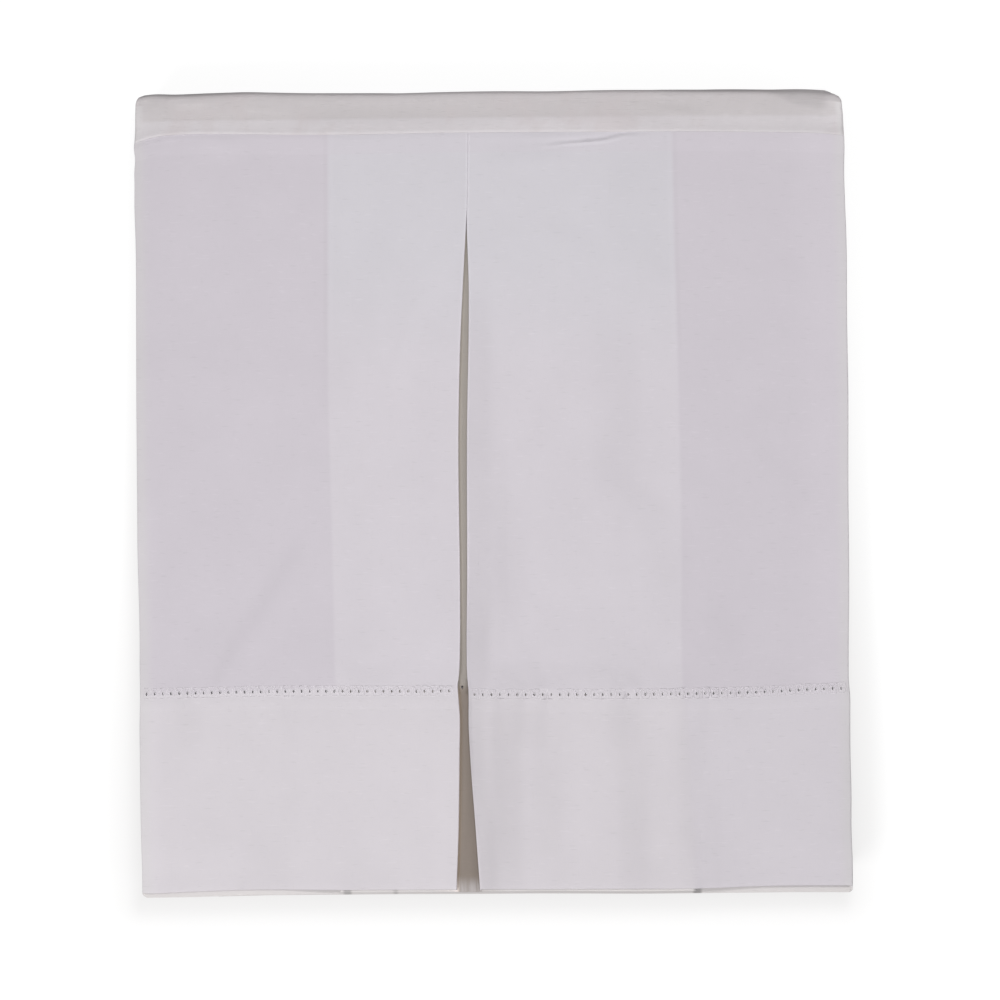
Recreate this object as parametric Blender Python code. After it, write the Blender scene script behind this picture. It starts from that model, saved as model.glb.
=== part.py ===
"""A bed skirt for a twin bed, folded flat.

The deck is the plain cloth that goes under the mattress. It is folded in three across its width,
then back and forth along its length. The foot drop is sewn to its end and lies on top, face up:
one strip of cloth with an inverted box pleat near the middle and a deep hem at the bottom.

X runs across the folded skirt, Y from the hem to the seam, and Z up. The origin is under the
middle of the folded skirt, on the surface that it rests on. Sizes are in millimetres until a
mesh is made from them.
"""
from collections import namedtuple
import math

import bmesh
import bpy

MM = 0.001
LEFT = -1
RIGHT = 1
HEM_SIDE = -1
SEAM_SIDE = 1

# Driving sizes
HALF_WIDTH = 177.6            # of the folded skirt
DECK_WIDTH = 990.0            # 39 in, folded in three
SEAM = 181.0                  # where the drop meets the deck, at the middle
HEM_EDGE = -197.6             # of the top ply
HEM_DEPTH = 100.0
DECK_END = -192.0             # of the deck's bottom layer
CLOTH = 1.0                   # one ply
HEM_CLOTH = 1.3               # one ply where the hem doubles it
STITCHED_CLOTH = 1.5          # one ply in the hemstitched band at the hem's top
BAND_WIDTH = 5.0              # of the hemstitching
BAND_EDGE = 0.8               # over which the cloth thickens
AIR = 0.4                     # between neighbouring plies
CLEARANCE = 0.3               # between the two pieces
DECK_LAYERS = 5               # flat ones, under the drop
DECK_PLIES = 3                # in each layer of the deck
DROP_PLIES = 5                # in the drop, at the pleat
TURN_STEPS = 6                # facets of a half turn

HEM_TOP = HEM_EDGE + HEM_DEPTH
BAND_BOTTOM = HEM_TOP - BAND_WIDTH
FLAP_END = (DECK_WIDTH - 2 * HALF_WIDTH) / 2 - HALF_WIDTH
PLY_PITCH = CLOTH + AIR
LAYER_THICKNESS = DECK_PLIES * CLOTH + (DECK_PLIES - 1) * AIR
LAYER_PITCH = LAYER_THICKNESS + AIR
LAYER_TURN = LAYER_PITCH / 2  # radius of a turn between two layers, at the middle ply
TOP_TURN = 2.75               # the same for the turn over the top
LAYER_HALF_WIDTH = HALF_WIDTH - 0.5

# Heights: the deck's flat layers, then the drop, which the deck's end meets
TOP_FLAT_LAYER = LAYER_THICKNESS / 2 + (DECK_LAYERS - 1) * LAYER_PITCH
CLOSED_PLIES = (-PLY_PITCH, 0.0, PLY_PITCH)
BAND_HEIGHT = TOP_FLAT_LAYER + 2 * TOP_TURN
STITCHING_SWELL = (STITCHED_CLOTH - HEM_CLOTH) / 2
DROP_BASE = TOP_FLAT_LAYER + LAYER_THICKNESS / 2 + CLEARANCE + STITCHING_SWELL

DeckTurn = namedtuple("DeckTurn", "reach radius corner_left corner_right shift")
DECK_TURNS = (                # from the seam on; shift is how far the next layer lies to the right
    DeckTurn(200.4, TOP_TURN, 4.5, 9.0, 0.3),
    DeckTurn(-198.9, LAYER_TURN, 2.0, 3.0, -0.4),
    DeckTurn(198.4, LAYER_TURN, 3.5, 2.5, 0.4),
    DeckTurn(-197.2, LAYER_TURN, 2.5, 3.0, -0.3),
    DeckTurn(196.8, LAYER_TURN, 3.0, 2.0, 0.2),
)

SeamPoint = namedtuple("SeamPoint", "x y")
SEAM_LINE = (
    SeamPoint(-HALF_WIDTH, 179.6),
    SeamPoint(-98.0, 181.3),
    SeamPoint(64.0, 180.8),
    SeamPoint(HALF_WIDTH, 178.6),
)
BENDS = (SEAM_LINE[1].x, SEAM_LINE[2].x)
SIDE_SLOPE = 0.02             # of the top, falling away from the bends to the sides

# Outermost faces of folds along the drop, from the hem to the seam
FoldPoint = namedtuple("FoldPoint", "y left right")
SIDE_FOLDS = (
    FoldPoint(-200.0, -176.3, 177.1),
    FoldPoint(-186.0, -177.4, 177.4),
    FoldPoint(-54.0, -177.2, 177.0),
    FoldPoint(58.0, -HALF_WIDTH, 177.5),
    FoldPoint(158.0, -177.4, 176.9),
    FoldPoint(172.0, -177.5, HALF_WIDTH),
    FoldPoint(186.0, -176.9, 177.1),
)
PLEAT_EDGES = (
    FoldPoint(-198.0, -20.2, -8.5),
    FoldPoint(-168.0, -18.9, -10.6),
    FoldPoint(-130.0, -18.1, -13.1),
    FoldPoint(-98.0, -18.2, -13.4),
    FoldPoint(-53.0, -17.1, -13.3),
    FoldPoint(37.0, -16.8, -12.6),
    FoldPoint(86.0, -15.0, -11.3),
    FoldPoint(103.0, -14.0, -11.1),
    FoldPoint(136.0, -12.2, -11.6),
    FoldPoint(182.0, -11.2, -10.6),
)
INNER_FOLDS = (
    FoldPoint(-198.0, -78.6, 104.0),
    FoldPoint(-110.0, -78.8, 97.5),
    FoldPoint(-88.0, -78.9, 94.6),
    FoldPoint(182.0, -80.6, 92.4),
)

# How far each ply's hem lies from the top ply's, by its height in the stack
HEM_STEPS = (-2.3, -1.9, -0.9, -0.5, 0.0)
HEM_SLANT = -1.1 / (2 * HALF_WIDTH)

SAG = 1.2                     # of the top ply beside the pleat's inner folds
SAG_WIDTH = 11.0
Crease = namedtuple("Crease", "x y end_x end_y width height")
CREASES = (                   # soft ridges of the top ply, or troughs below zero
    Crease(-95.0, -20.0, -140.0, -92.0, 15.0, -0.5),
    Crease(8.0, 40.0, 22.0, -80.0, 14.0, -0.5),
    Crease(55.0, 14.0, 92.0, -54.0, 15.0, -0.4),
    Crease(66.0, -110.0, 74.0, -170.0, 13.0, -0.4),
    Crease(112.0, -104.0, 118.0, -182.0, 13.0, -0.5),
)

# Rows of points along the drop, from the hem to the seam, and how thick a ply is at each
DropRow = namedtuple("DropRow", "y cloth")
HEM_ROWS = (HEM_EDGE, -186.0, -164.0, -138.0, -118.0, BAND_BOTTOM)
BAND_ROWS = (BAND_BOTTOM + BAND_EDGE, HEM_TOP - BAND_EDGE)
UPPER_ROWS = (HEM_TOP, -78.0, -54.0, -28.0, 0.0, 28.0, 58.0, 86.0, 112.0, 136.0, 158.0, 172.0, SEAM)
DROP_ROWS = (
    *(DropRow(y, HEM_CLOTH) for y in HEM_ROWS),
    *(DropRow(y, STITCHED_CLOTH) for y in BAND_ROWS),
    *(DropRow(y, CLOTH) for y in UPPER_ROWS),
)
HEM_RISE = 45.0               # over which the stack thickens above the hem

SectionPoint = namedtuple("SectionPoint", "x height normal_x normal_height")
SheetPoint = namedtuple("SheetPoint", "place normal thickness")


def soft_step(low, high, value):
    """0 up to low, 1 from high on, and a soft rise in between."""
    share = min(max((value - low) / (high - low), 0.0), 1.0)
    return share * share * (3 - 2 * share)


def column_at(table, key, column, place):
    """A column's value at a place between two rows of a table whose key rises."""
    pairs = list(zip(table, table[1:]))
    before, after = next((pair for pair in pairs if place < getattr(pair[1], key)), pairs[-1])
    start = getattr(before, key)
    share = (place - start) / (getattr(after, key) - start)
    share = min(max(share, 0.0), 1.0)
    first = getattr(before, column)
    return first + share * (getattr(after, column) - first)


def fold_at(table, side, y):
    return column_at(table, "y", "left" if side == LEFT else "right", y)


def seam_at(x):
    return column_at(SEAM_LINE, "x", "y", x)


def spaced(stops, counts):
    """Places from the first stop to the last, with a count of even steps between each two."""
    places = [stops[0]]
    for start, end, count in zip(stops, stops[1:], counts):
        places.extend(start + (end - start) * step / count for step in range(1, count + 1))
    return places


class Section:
    """The middle line of a strip that is folded across, laid down ply by ply.

    The strip's face is on the left of the way it runs: up where it runs towards +X.
    """

    def __init__(self, start_x, height, cloth):
        self.x = start_x
        self.height = height
        self.cloth = cloth
        self.points = []

    def run(self, end_x, counts, stops=()):
        """A level ply, with closer points between the stops."""
        up = 1.0 if end_x > self.x else -1.0
        for x in spaced((self.x, *stops, end_x), counts):
            self.points.append(SectionPoint(x, self.height, 0.0, up))
        self.x = end_x

    def run_and_turn(self, outermost, side, next_height, counts, stops=()):
        """A ply, and the half turn at its end, whose outermost face is given."""
        middle = (self.height + next_height) / 2
        radius = abs(self.height - middle)
        self.run(outermost - side * (radius + self.cloth / 2), counts, stops)
        for step in range(1, TURN_STEPS):
            angle = math.pi * step / TURN_STEPS
            along_x = side * math.cos(angle)
            along_height = (middle - self.height) / radius * math.sin(angle)
            self.points.append(SectionPoint(
                self.x + side * radius * math.sin(angle),
                middle + (self.height - middle) * math.cos(angle),
                -along_height,
                along_x,
            ))
        self.height = next_height


def drop_heights(y):
    """Heights of the drop's plies: two flaps, underlay, returns, front."""
    room = CLOTH + (HEM_CLOTH - CLOTH) * soft_step(0.0, HEM_RISE, HEM_TOP + HEM_RISE - y)
    return [DROP_BASE + room / 2 + ply * (room + AIR) for ply in range(DROP_PLIES)]


def drop_section(row):
    """The drop across its width, from the left flap's end to the right flap's."""
    right_flap, left_flap, underlay, returns, front = drop_heights(row.y)
    left_side = fold_at(SIDE_FOLDS, LEFT, row.y)
    right_side = fold_at(SIDE_FOLDS, RIGHT, row.y)
    left_fold = fold_at(INNER_FOLDS, LEFT, row.y)
    right_fold = fold_at(INNER_FOLDS, RIGHT, row.y)
    left_edge = fold_at(PLEAT_EDGES, LEFT, row.y)
    right_edge = fold_at(PLEAT_EDGES, RIGHT, row.y)
    section = Section(FLAP_END, left_flap, row.cloth)
    section.run_and_turn(left_side, LEFT, front, (1, 2, 1), BENDS[::-1])
    section.run_and_turn(left_edge, RIGHT, returns, (5, 2, 4), (left_fold - SAG_WIDTH, left_fold))
    section.run_and_turn(left_fold, LEFT, underlay, (3,))
    section.run_and_turn(right_fold, RIGHT, returns, (4,))
    section.run_and_turn(right_edge, LEFT, front, (4,))
    section.run_and_turn(right_side, RIGHT, right_flap, (6, 2, 4),
                         (right_fold, right_fold + SAG_WIDTH))
    section.run(-FLAP_END, (1, 2, 1), BENDS[::-1])
    return section.points


def deck_section(heights, left, right):
    """The deck across its width: left flap, front, right flap, from one free edge to the other."""
    right_flap, left_flap, front = heights
    section = Section(FLAP_END, left_flap, CLOTH)
    section.run_and_turn(left, LEFT, front, (1, 2, 1), BENDS[::-1])
    section.run_and_turn(right, RIGHT, right_flap, (2, 2, 2), BENDS)
    section.run(-FLAP_END, (1, 2, 1), BENDS[::-1])
    return section.points


def beside_pleat(x, y):
    """1 where the top ply has no pleat under it, 0 over the pleat."""
    left_fold = fold_at(INNER_FOLDS, LEFT, y)
    right_fold = fold_at(INNER_FOLDS, RIGHT, y)
    if x < (left_fold + right_fold) / 2:
        return soft_step(0.0, SAG_WIDTH, left_fold - x)
    return soft_step(0.0, SAG_WIDTH, x - right_fold)


def crease_height(crease, x, y):
    """A soft ridge along a line, fading out towards both of its ends."""
    run_x = crease.end_x - crease.x
    run_y = crease.end_y - crease.y
    length = math.hypot(run_x, run_y)
    along = ((x - crease.x) * run_x + (y - crease.y) * run_y) / length
    across = ((x - crease.x) * run_y - (y - crease.y) * run_x) / length
    past_end = max(-along, along - length, 0.0)
    return crease.height * math.exp(-(across ** 2 + past_end ** 2) / crease.width ** 2)


def settled(x, y, z):
    """A point moved as the top ply sags beside the pleat and creases, and the sides fall away."""
    _, flap, *_, front = drop_heights(y)
    share = min(max((z - flap - CLOTH / 2) / (front - flap - CLOTH), 0.0), 1.0)
    lift = -SAG * beside_pleat(x, y) * (1.0 - soft_step(SEAM + 2, SEAM + 14, y))
    lift += sum(crease_height(crease, x, y) for crease in CREASES)
    past_bend = max(BENDS[0] - x, x - BENDS[1], 0.0)
    return x, y, z + lift * share - SIDE_SLOPE * past_bend * z / front


def drop_point(section_point, row):
    """A point of the drop; both ends of the strip follow their own uneven edges."""
    x = section_point.x
    heights = drop_heights(row.y)
    ply = (section_point.height - heights[0]) / (heights[1] - heights[0])
    below = min(int(ply), DROP_PLIES - 2)
    hem_step = HEM_STEPS[below] + (ply - below) * (HEM_STEPS[below + 1] - HEM_STEPS[below])
    y = row.y
    y += (seam_at(x) - CLEARANCE / 2 - SEAM) * soft_step(140.0, SEAM, row.y)
    y += (hem_step + HEM_SLANT * x) * soft_step(0.0, HEM_DEPTH, HEM_TOP - row.y)
    normal = (section_point.normal_x, 0.0, section_point.normal_height)
    return SheetPoint((x, y, section_point.height), normal, row.cloth)


def drop_rows():
    return [[drop_point(point, row) for point in drop_section(row)] for row in DROP_ROWS]


def deck_row(y, z, lean, section):
    """The deck's section set at a place of its path; lean turns its front from up (0) to down."""
    up_y = math.sin(lean)
    up_z = math.cos(lean)
    row = []
    for point in section:
        place = (point.x, y + point.height * up_y, z + point.height * up_z)
        normal = (point.normal_x, point.normal_height * up_y, point.normal_height * up_z)
        row.append(SheetPoint(place, normal, CLOTH))
    return row


def band_rows(last_y):
    """From the seam, where its plies meet the drop's, up to where the turn over the top starts."""
    right_flap, left_flap, *_, front = drop_heights(SEAM)
    rows = []
    for y in (SEAM, SEAM + 5, SEAM + 10):
        closing = soft_step(SEAM, last_y, y)
        heights = [
            (1 - closing) * (height - BAND_HEIGHT) + closing * closed
            for height, closed in zip((right_flap, left_flap, front), CLOSED_PLIES)
        ]
        left = fold_at(SIDE_FOLDS, LEFT, y)
        right = fold_at(SIDE_FOLDS, RIGHT, y)
        rows.append(deck_row(y, BAND_HEIGHT, 0.0, deck_section(heights, left, right)))
    seam_row = []
    for point in rows[0]:
        x, _, z = point.place
        seam_row.append(point._replace(place=(x, seam_at(x) + CLEARANCE / 2, z)))
    rows[0] = seam_row
    return rows


def layer_section(shift, left_inset=0.0, right_inset=0.0):
    left = -LAYER_HALF_WIDTH + shift + left_inset
    right = LAYER_HALF_WIDTH + shift - right_inset
    return deck_section(CLOSED_PLIES, left, right)


def turn_centre(turn, end):
    return turn.reach - end * (turn.radius + LAYER_THICKNESS / 2)


def turn_rows(turn, end, height, shift):
    """Half a turn, from a layer at this height to the next one below."""
    rows = []
    for step in range(TURN_STEPS + 1):
        angle = math.pi * step / TURN_STEPS
        inset = 1 - abs(math.cos(angle))
        moved = shift + (turn.shift - shift) * step / TURN_STEPS
        section = layer_section(moved, turn.corner_left * inset, turn.corner_right * inset)
        y = turn_centre(turn, end) + end * turn.radius * math.sin(angle)
        z = height - turn.radius + turn.radius * math.cos(angle)
        lean = angle if end == SEAM_SIDE else math.pi - angle
        rows.append(deck_row(y, z, lean, section))
    return rows


def deck_rows():
    """The deck along its path: the band, then a turn and a layer by turns, down to the surface."""
    rows = band_rows(turn_centre(DECK_TURNS[0], SEAM_SIDE))
    height = BAND_HEIGHT
    shift = 0.0
    end = SEAM_SIDE
    for turn, next_turn in zip(DECK_TURNS, (*DECK_TURNS[1:], None)):
        rows.extend(turn_rows(turn, end, height, shift))
        height -= 2 * turn.radius
        shift = turn.shift
        start = turn_centre(turn, end)
        stop = turn_centre(next_turn, -end) if next_turn else DECK_END
        lean = math.pi if end == SEAM_SIDE else 0.0
        section = layer_section(shift)
        rows.append(deck_row((start + stop) / 2, height, lean, section))
        end = -end
    rows.append(deck_row(DECK_END, height, lean, section))
    return rows


def add_sheet(name, rows, material):
    """A closed sheet around a grid of points: its face, its back and its four edges."""
    mesh_data = bmesh.new()
    faces = []
    for side in (0.5, -0.5):
        grid = []
        for row in rows:
            line = []
            for point in row:
                moved = [place + side * point.thickness * normal
                         for place, normal in zip(point.place, point.normal)]
                line.append(mesh_data.verts.new([value * MM for value in settled(*moved)]))
            grid.append(line)
        faces.append(grid)
    front, back = faces
    for grid in faces:
        for line, next_line in zip(grid, grid[1:]):
            for column in range(len(line) - 1):
                mesh_data.faces.new((line[column], line[column + 1],
                                     next_line[column + 1], next_line[column]))
    for row in (0, -1):
        for column in range(len(front[row]) - 1):
            mesh_data.faces.new((front[row][column], front[row][column + 1],
                                 back[row][column + 1], back[row][column]))
    for column in (0, -1):
        for row in range(len(front) - 1):
            mesh_data.faces.new((front[row][column], front[row + 1][column],
                                 back[row + 1][column], back[row][column]))
    bmesh.ops.recalc_face_normals(mesh_data, faces=mesh_data.faces[:])
    if mesh_data.calc_volume(signed=True) < 0:
        bmesh.ops.reverse_faces(mesh_data, faces=mesh_data.faces[:])
    mesh = bpy.data.meshes.new(name)
    mesh_data.to_mesh(mesh)
    mesh_data.free()
    mesh.shade_smooth()
    mesh.set_sharp_from_angle(angle=math.radians(50))
    mesh.materials.append(material)
    piece = bpy.data.objects.new(name, mesh)
    bpy.context.scene.collection.objects.link(piece)
    return piece


def cloth_material(name, colour, roughness):
    material = bpy.data.materials.new(name)
    material.use_nodes = True
    shader = material.node_tree.nodes["Principled BSDF"]
    shader.inputs["Base Color"].default_value = (*colour, 1.0)
    shader.inputs["Roughness"].default_value = roughness
    shader.inputs["Metallic"].default_value = 0.0
    return material


def main():
    for item in list(bpy.data.objects):
        bpy.data.objects.remove(item, do_unlink=True)
    face_cloth = cloth_material("face_cloth", (0.66, 0.61, 0.66), 0.85)
    muslin = cloth_material("muslin", (0.60, 0.56, 0.57), 0.95)
    add_sheet("drop", drop_rows(), face_cloth)
    add_sheet("deck", deck_rows(), muslin)


main()
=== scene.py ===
"""A bed skirt for a twin bed, folded flat: its cloth, its sewing, its finish and the studio.

The deck goes under the mattress. It is folded in three across its width, then back and forth along
its length. The foot drop is sewn to its end and lies on top, face up, with an inverted box pleat
and a deep hem under a row of hemstitching.

X runs across the folded skirt, Y from the hem to the seam, and Z up. Sizes are in millimetres
until a mesh is made from them.
"""
from collections import namedtuple
import math

import bpy
import numpy as np
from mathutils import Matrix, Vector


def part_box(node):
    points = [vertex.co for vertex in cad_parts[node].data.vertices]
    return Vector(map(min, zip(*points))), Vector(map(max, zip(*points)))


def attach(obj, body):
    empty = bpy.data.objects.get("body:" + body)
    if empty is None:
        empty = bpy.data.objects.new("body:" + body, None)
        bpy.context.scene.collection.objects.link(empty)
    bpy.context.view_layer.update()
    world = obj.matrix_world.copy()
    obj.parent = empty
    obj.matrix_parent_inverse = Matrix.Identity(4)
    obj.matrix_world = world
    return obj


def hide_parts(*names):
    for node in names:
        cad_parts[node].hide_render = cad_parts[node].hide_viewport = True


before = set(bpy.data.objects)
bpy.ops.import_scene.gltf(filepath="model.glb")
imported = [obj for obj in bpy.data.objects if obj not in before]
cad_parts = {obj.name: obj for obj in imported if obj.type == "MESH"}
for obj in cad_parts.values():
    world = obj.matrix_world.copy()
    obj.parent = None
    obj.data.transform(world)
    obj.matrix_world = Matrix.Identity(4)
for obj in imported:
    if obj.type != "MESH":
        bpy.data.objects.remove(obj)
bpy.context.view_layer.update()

MM = 0.001
LEFT = -1
RIGHT = 1
SEAM_SIDE = 1                 # of the folded deck; the hem's side is -1
FAR = 50.0                    # further than any edge's effect on the cloth reaches


def rows_of(columns, rows):
    """A table whose columns have names."""
    row_of = namedtuple("Row", columns)
    return tuple(row_of(*row) for row in rows)


def paths_of(*paths):
    """Paths over the cloth; each point has the width and the height of the ridge there."""
    return tuple(rows_of("x y width height", path) for path in paths)


# The flat cloth
DECK_CUT = (990.0, 1990.0)    # 39 in wide, and as long as a twin mattress with a little to spare

# The folded skirt, as its solids have it
HALF_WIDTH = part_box("deck")[1].x / MM
SEAM = 181.0                  # where the drop meets the deck, at the middle
HEM_EDGE = -197.6             # of the top ply
HEM_DEPTH = 100.0
DECK_END = -192.0             # of the deck's bottom layer
PLY_ROOM = 1.0                # that a ply takes in the stack
HEM_PLY_ROOM = 1.3
STITCHED_ROOM = 1.5
BAND_WIDTH = 5.0              # of the hemstitching
AIR = 0.4                     # between the rooms of two plies
CLEARANCE = 0.3               # between the drop and the deck
DECK_LAYERS = 5
DECK_PLIES = 3
DROP_PLIES = 5
HEM_RISE = 45.0               # over which the stack thickens above the hem

HEM_TOP = HEM_EDGE + HEM_DEPTH
BAND_BOTTOM = HEM_TOP - BAND_WIDTH
BAND_MIDDLE = HEM_TOP - BAND_WIDTH / 2
FLAP_END = (DECK_CUT[0] - 2 * HALF_WIDTH) / 2 - HALF_WIDTH
PLY_PITCH = PLY_ROOM + AIR
CLOSED_PLIES = (-PLY_PITCH, 0.0, PLY_PITCH)
LAYER_THICKNESS = DECK_PLIES * PLY_ROOM + (DECK_PLIES - 1) * AIR
LAYER_PITCH = LAYER_THICKNESS + AIR
LAYER_TURN = LAYER_PITCH / 2
TOP_TURN = 2.75               # radius of the turn over the top; LAYER_TURN is the others'
LAYER_HALF_WIDTH = HALF_WIDTH - 0.5
TOP_FLAT_LAYER = LAYER_THICKNESS / 2 + (DECK_LAYERS - 1) * LAYER_PITCH
BAND_HEIGHT = TOP_FLAT_LAYER + 2 * TOP_TURN
DROP_BASE = TOP_FLAT_LAYER + LAYER_THICKNESS / 2 + CLEARANCE + (STITCHED_ROOM - HEM_PLY_ROOM) / 2

# The cloth itself, thinner than the room that it has
FACE_CLOTH = 0.75
HEM_CLOTH = 1.1               # two plies, sewn together
HEM_TURNING = 1.2             # three, where the turned-up edge is tucked under
STITCHED_CLOTH = 0.85
UNDERLAY_LIFT = 0.8           # how far the underlay bulges up into the open pleat
MUSLIN = 0.85
PRESSED = 0.35                # how much closer the drop's plies lie than their rooms
ALLOWANCE = 10.0              # of the drop's cloth, turned down behind the seam
BAND_ALLOWANCE = 7.2          # of the deck's cloth, turned up behind it
ALLOWANCE_LIFT = 0.06         # that it gives the band's top ply
TURNING = 6.0                 # depth of the hem's tucked edge, below the hemstitching
SEAM_GAP = 0.05               # left between the two rolled edges
SEAM_ROLL = 0.16              # how far each of them rolls down into the seam

# How fine the sheets are
TURN_ANGLES = tuple(22.5 * step for step in range(1, 8))
OUTER_ANGLES = (24, 36, 41, 45, 49, 56, 72, 90, 120, 135, 150)
CREASED_ANGLES = (20, 34, 41, 45, 49, 56, 72, 90, 112, 131, 139, 158)
PRESSED_FOLD = 4.0            # how square a fold is
OUTER_FOLD = 7.0              # the same for the sides' top folds
SEWN_FOLD = 12.0              # and for the pleat's edges, where they are sewn shut
HOLE_STEPS = 8                # fine columns in each pitch of the hemstitching
BLOCK_STEPS = HOLE_STEPS // 2     # cells of the block around a hole, each way
BLOCK_MIDDLE = BLOCK_STEPS // 2
BAND_TURN_STEPS = 12
LAYER_TURN_STEPS = 8
ROLL_PLACES = (0.0, 0.15, 0.45, 0.9, 1.5, 2.3, 3.3)    # of the deck's rows over its rolled edge
NOSE_ANGLES = (18, 40, 65)    # of the drop's rows around its hem's edge
HEM_ROW_PITCH = 3.7
UPPER_ROW_PITCH = 4.2
LAYER_ROW_PITCH = 20.0
SHARP_ANGLE = 55.0            # edges sharper than this aren't smoothed

# Hemstitching
LEFT_HOLES = 38
RIGHT_HOLES = 44
LEFT_HOLES_END = 3.3          # before the pleat's edge
RIGHT_HOLES_START = 2.0       # past its other edge
UNDERLAY_HOLES = 5            # those of the underlay that the open pleat may show
UNDERLAY_HOLED = (-25.9, -7.0)
HOLE_HALF_WIDTH = 0.52
HOLE_HALF_HEIGHT = 0.79
HOLE_BLOCK = 1.5              # half the height of the block of cells around a hole
DASH_WIDTH = 2.9              # of the short stitches above and below a hole
DASH_RISE = 2.7
BAR_PITCH = 4.2
HEMSTITCH_THREAD = 0.24

# Seam and pleat stitches
SEWING_THREAD = 0.22
STITCH_REACH = 1.1
SEAM_STITCH_PITCH = 2.5
PLEAT_STITCH_PITCH = 2.6

# Where the drop meets the deck
SEAM_LINE = rows_of("x y", (
    (-177.6, 177.3), (-172.9, 179), (-167.1, 180.4), (-155.1, 181.4), (-145, 181.6), (-137.6, 181.5),
    (-115, 180.9), (-96.6, 180.4), (-11.6, 180.6), (65.4, 180.2), (110, 180.1), (145, 179.5),
    (165, 178.9), (177.6, 177.8),
))
BENDS = (-98.0, 64.0)         # along X; the top is level between them
SIDE_SLOPE = 0.02             # and falls away from them to the sides

# Outermost faces of folds along the drop, from the hem to the seam
SIDE_FOLDS = rows_of("y left right", (
    (-200, -178.1, 178.6), (-186, -177.95, 178.7), (-170, -178.25, 178.15), (-150, -178.4, 178.3),
    (-133, -178.4, 178), (-115, -178.4, 178.1), (-104, -178.05, 178.15), (-96, -178, 177.55),
    (-88, -178.1, 177.6), (-75, -178, 177.8), (-55, -178.25, 178.3), (-28, -178.7, 178.5),
    (-3, -178.65, 178.5), (20, -178.6, 178.7), (46, -178.5, 179), (86, -178.2, 178.75),
    (126, -178.05, 178.85), (146, -178.45, 178.3), (158, -178.3, 178.05), (166, -178.3, 178.1),
    (172, -177.9, 178.3), (179, -178.4, 178.3), (186, -177.8, 177.95), (193, -177.55, 177.4),
    (200, -177.2, 176.8),
))
PLEAT_EDGES = rows_of("y left right", (
    (-198, -20.2, -8.5), (-168, -18.9, -10.4), (-130, -18, -12.85), (-113, -17.7, -13.45),
    (-103, -18.3, -13.3), (-98, -18.6, -13.35), (-92, -17.9, -13.8), (-73, -17.15, -14),
    (-53, -16.95, -13.6), (37, -16.8, -12.6), (86, -15, -11.3), (103, -14, -11.1), (136, -12, -11.7),
    (143, -11.6, -11.6), (150, -11.25, -11.25), (166, -10.95, -10.95), (182, -10.6, -10.6),
))
INNER_FOLDS = rows_of("y left right", (
    (-198, -78.6, 99.9), (-110, -79.2, 95), (-88, -79.9, 93.8), (-30, -80.6, 94.2), (46, -81.9, 93.6),
    (150, -81, 91.8), (182, -80.8, 91.6),
))
CLOSED_GAP = 0.02             # between the pleat's edges where it is sewn shut
PLEAT_TOP = 181.0             # the pleat is sewn shut from here
PLEAT_OPENS = 136.0           # down to here

# How far each ply's hem lies from the top ply's, by its height in the stack
HEM_STEPS = (-2.3, -1.9, -0.9, -0.5, 0.0)
HEM_SLANT = -1.1 / (2 * HALF_WIDTH)
LEFT_FLAP_STEP = 3.4          # how much further in the left flap's hem lies towards its free end

# How far the hem's edges lie beyond that: the top ply's, and those of the plies under it
HEM_LINES = rows_of("x front under", (
    (-178.4, -1.6, -0.6), (-176.4, -2, -2.2), (-173, -2, -3), (-165, -1.7, -2.9), (-150, -1.1, -2.15),
    (-126, -0.4, -1.4), (-95, -0.35, -1.2), (-45, -0.5, -1.2), (5, -0.7, -1.35), (30, -0.8, -1.3),
    (55, -0.85, -1.75), (105, -1, -1.85), (140, -0.4, -1.75), (178, -0.6, -2.1),
))

# How far the hemstitching strays up or down, along the drop's cloth from its left end
HEMSTITCH_STRAY = rows_of("along rise", (
    (0, 1), (322, 1.1), (396, 1.9), (476, 1.3), (600, 3.1), (715, 1), (828, -0.6), (942, -1.3),
    (965, -1.1), (994, 0), (1012, 0.5), (1336, 0.5),
))

# The turn over the top, further out or in than its solid
TOP_EDGE = rows_of("x out", (
    (-177, 1), (-171, 1.85), (-157, 1.6), (-139, 2), (-123, 2.35), (-94, 1.55), (-69, 1.15),
    (-44, 0.95), (-24, 1.3), (5, 1.45), (30, 1.15), (56, 1.45), (80, 1.45), (105, 1.15), (125, 1.1),
    (140, 0.98), (160, 0.95), (173, -0.35), (177, -1),
))

# The deck's turns from the seam on; shift is how far the next layer lies to the right
DECK_TURNS = rows_of("reach radius corner_left corner_right shift", (
    (200.4, TOP_TURN, 4.5, 9.0, 0.3),
    (-198.9, LAYER_TURN, 2.0, 3.0, -0.4),
    (198.4, LAYER_TURN, 3.5, 2.5, 0.4),
    (-197.2, LAYER_TURN, 2.5, 3.0, -0.3),
    (196.8, LAYER_TURN, 3.0, 2.0, 0.2),
))

# The top ply sags beside the pleat's inner folds, and its hem droops there
SAG = 1.3
SAG_ENDS = (2.0, 14.0)        # past the seam, across which it fades out
SAG_LEFT_WIDTH = 30.0
SAG_RIGHT_WIDTH = 34.0
DROOP = 1.2
DROOP_DEPTH = 24.0

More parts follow.
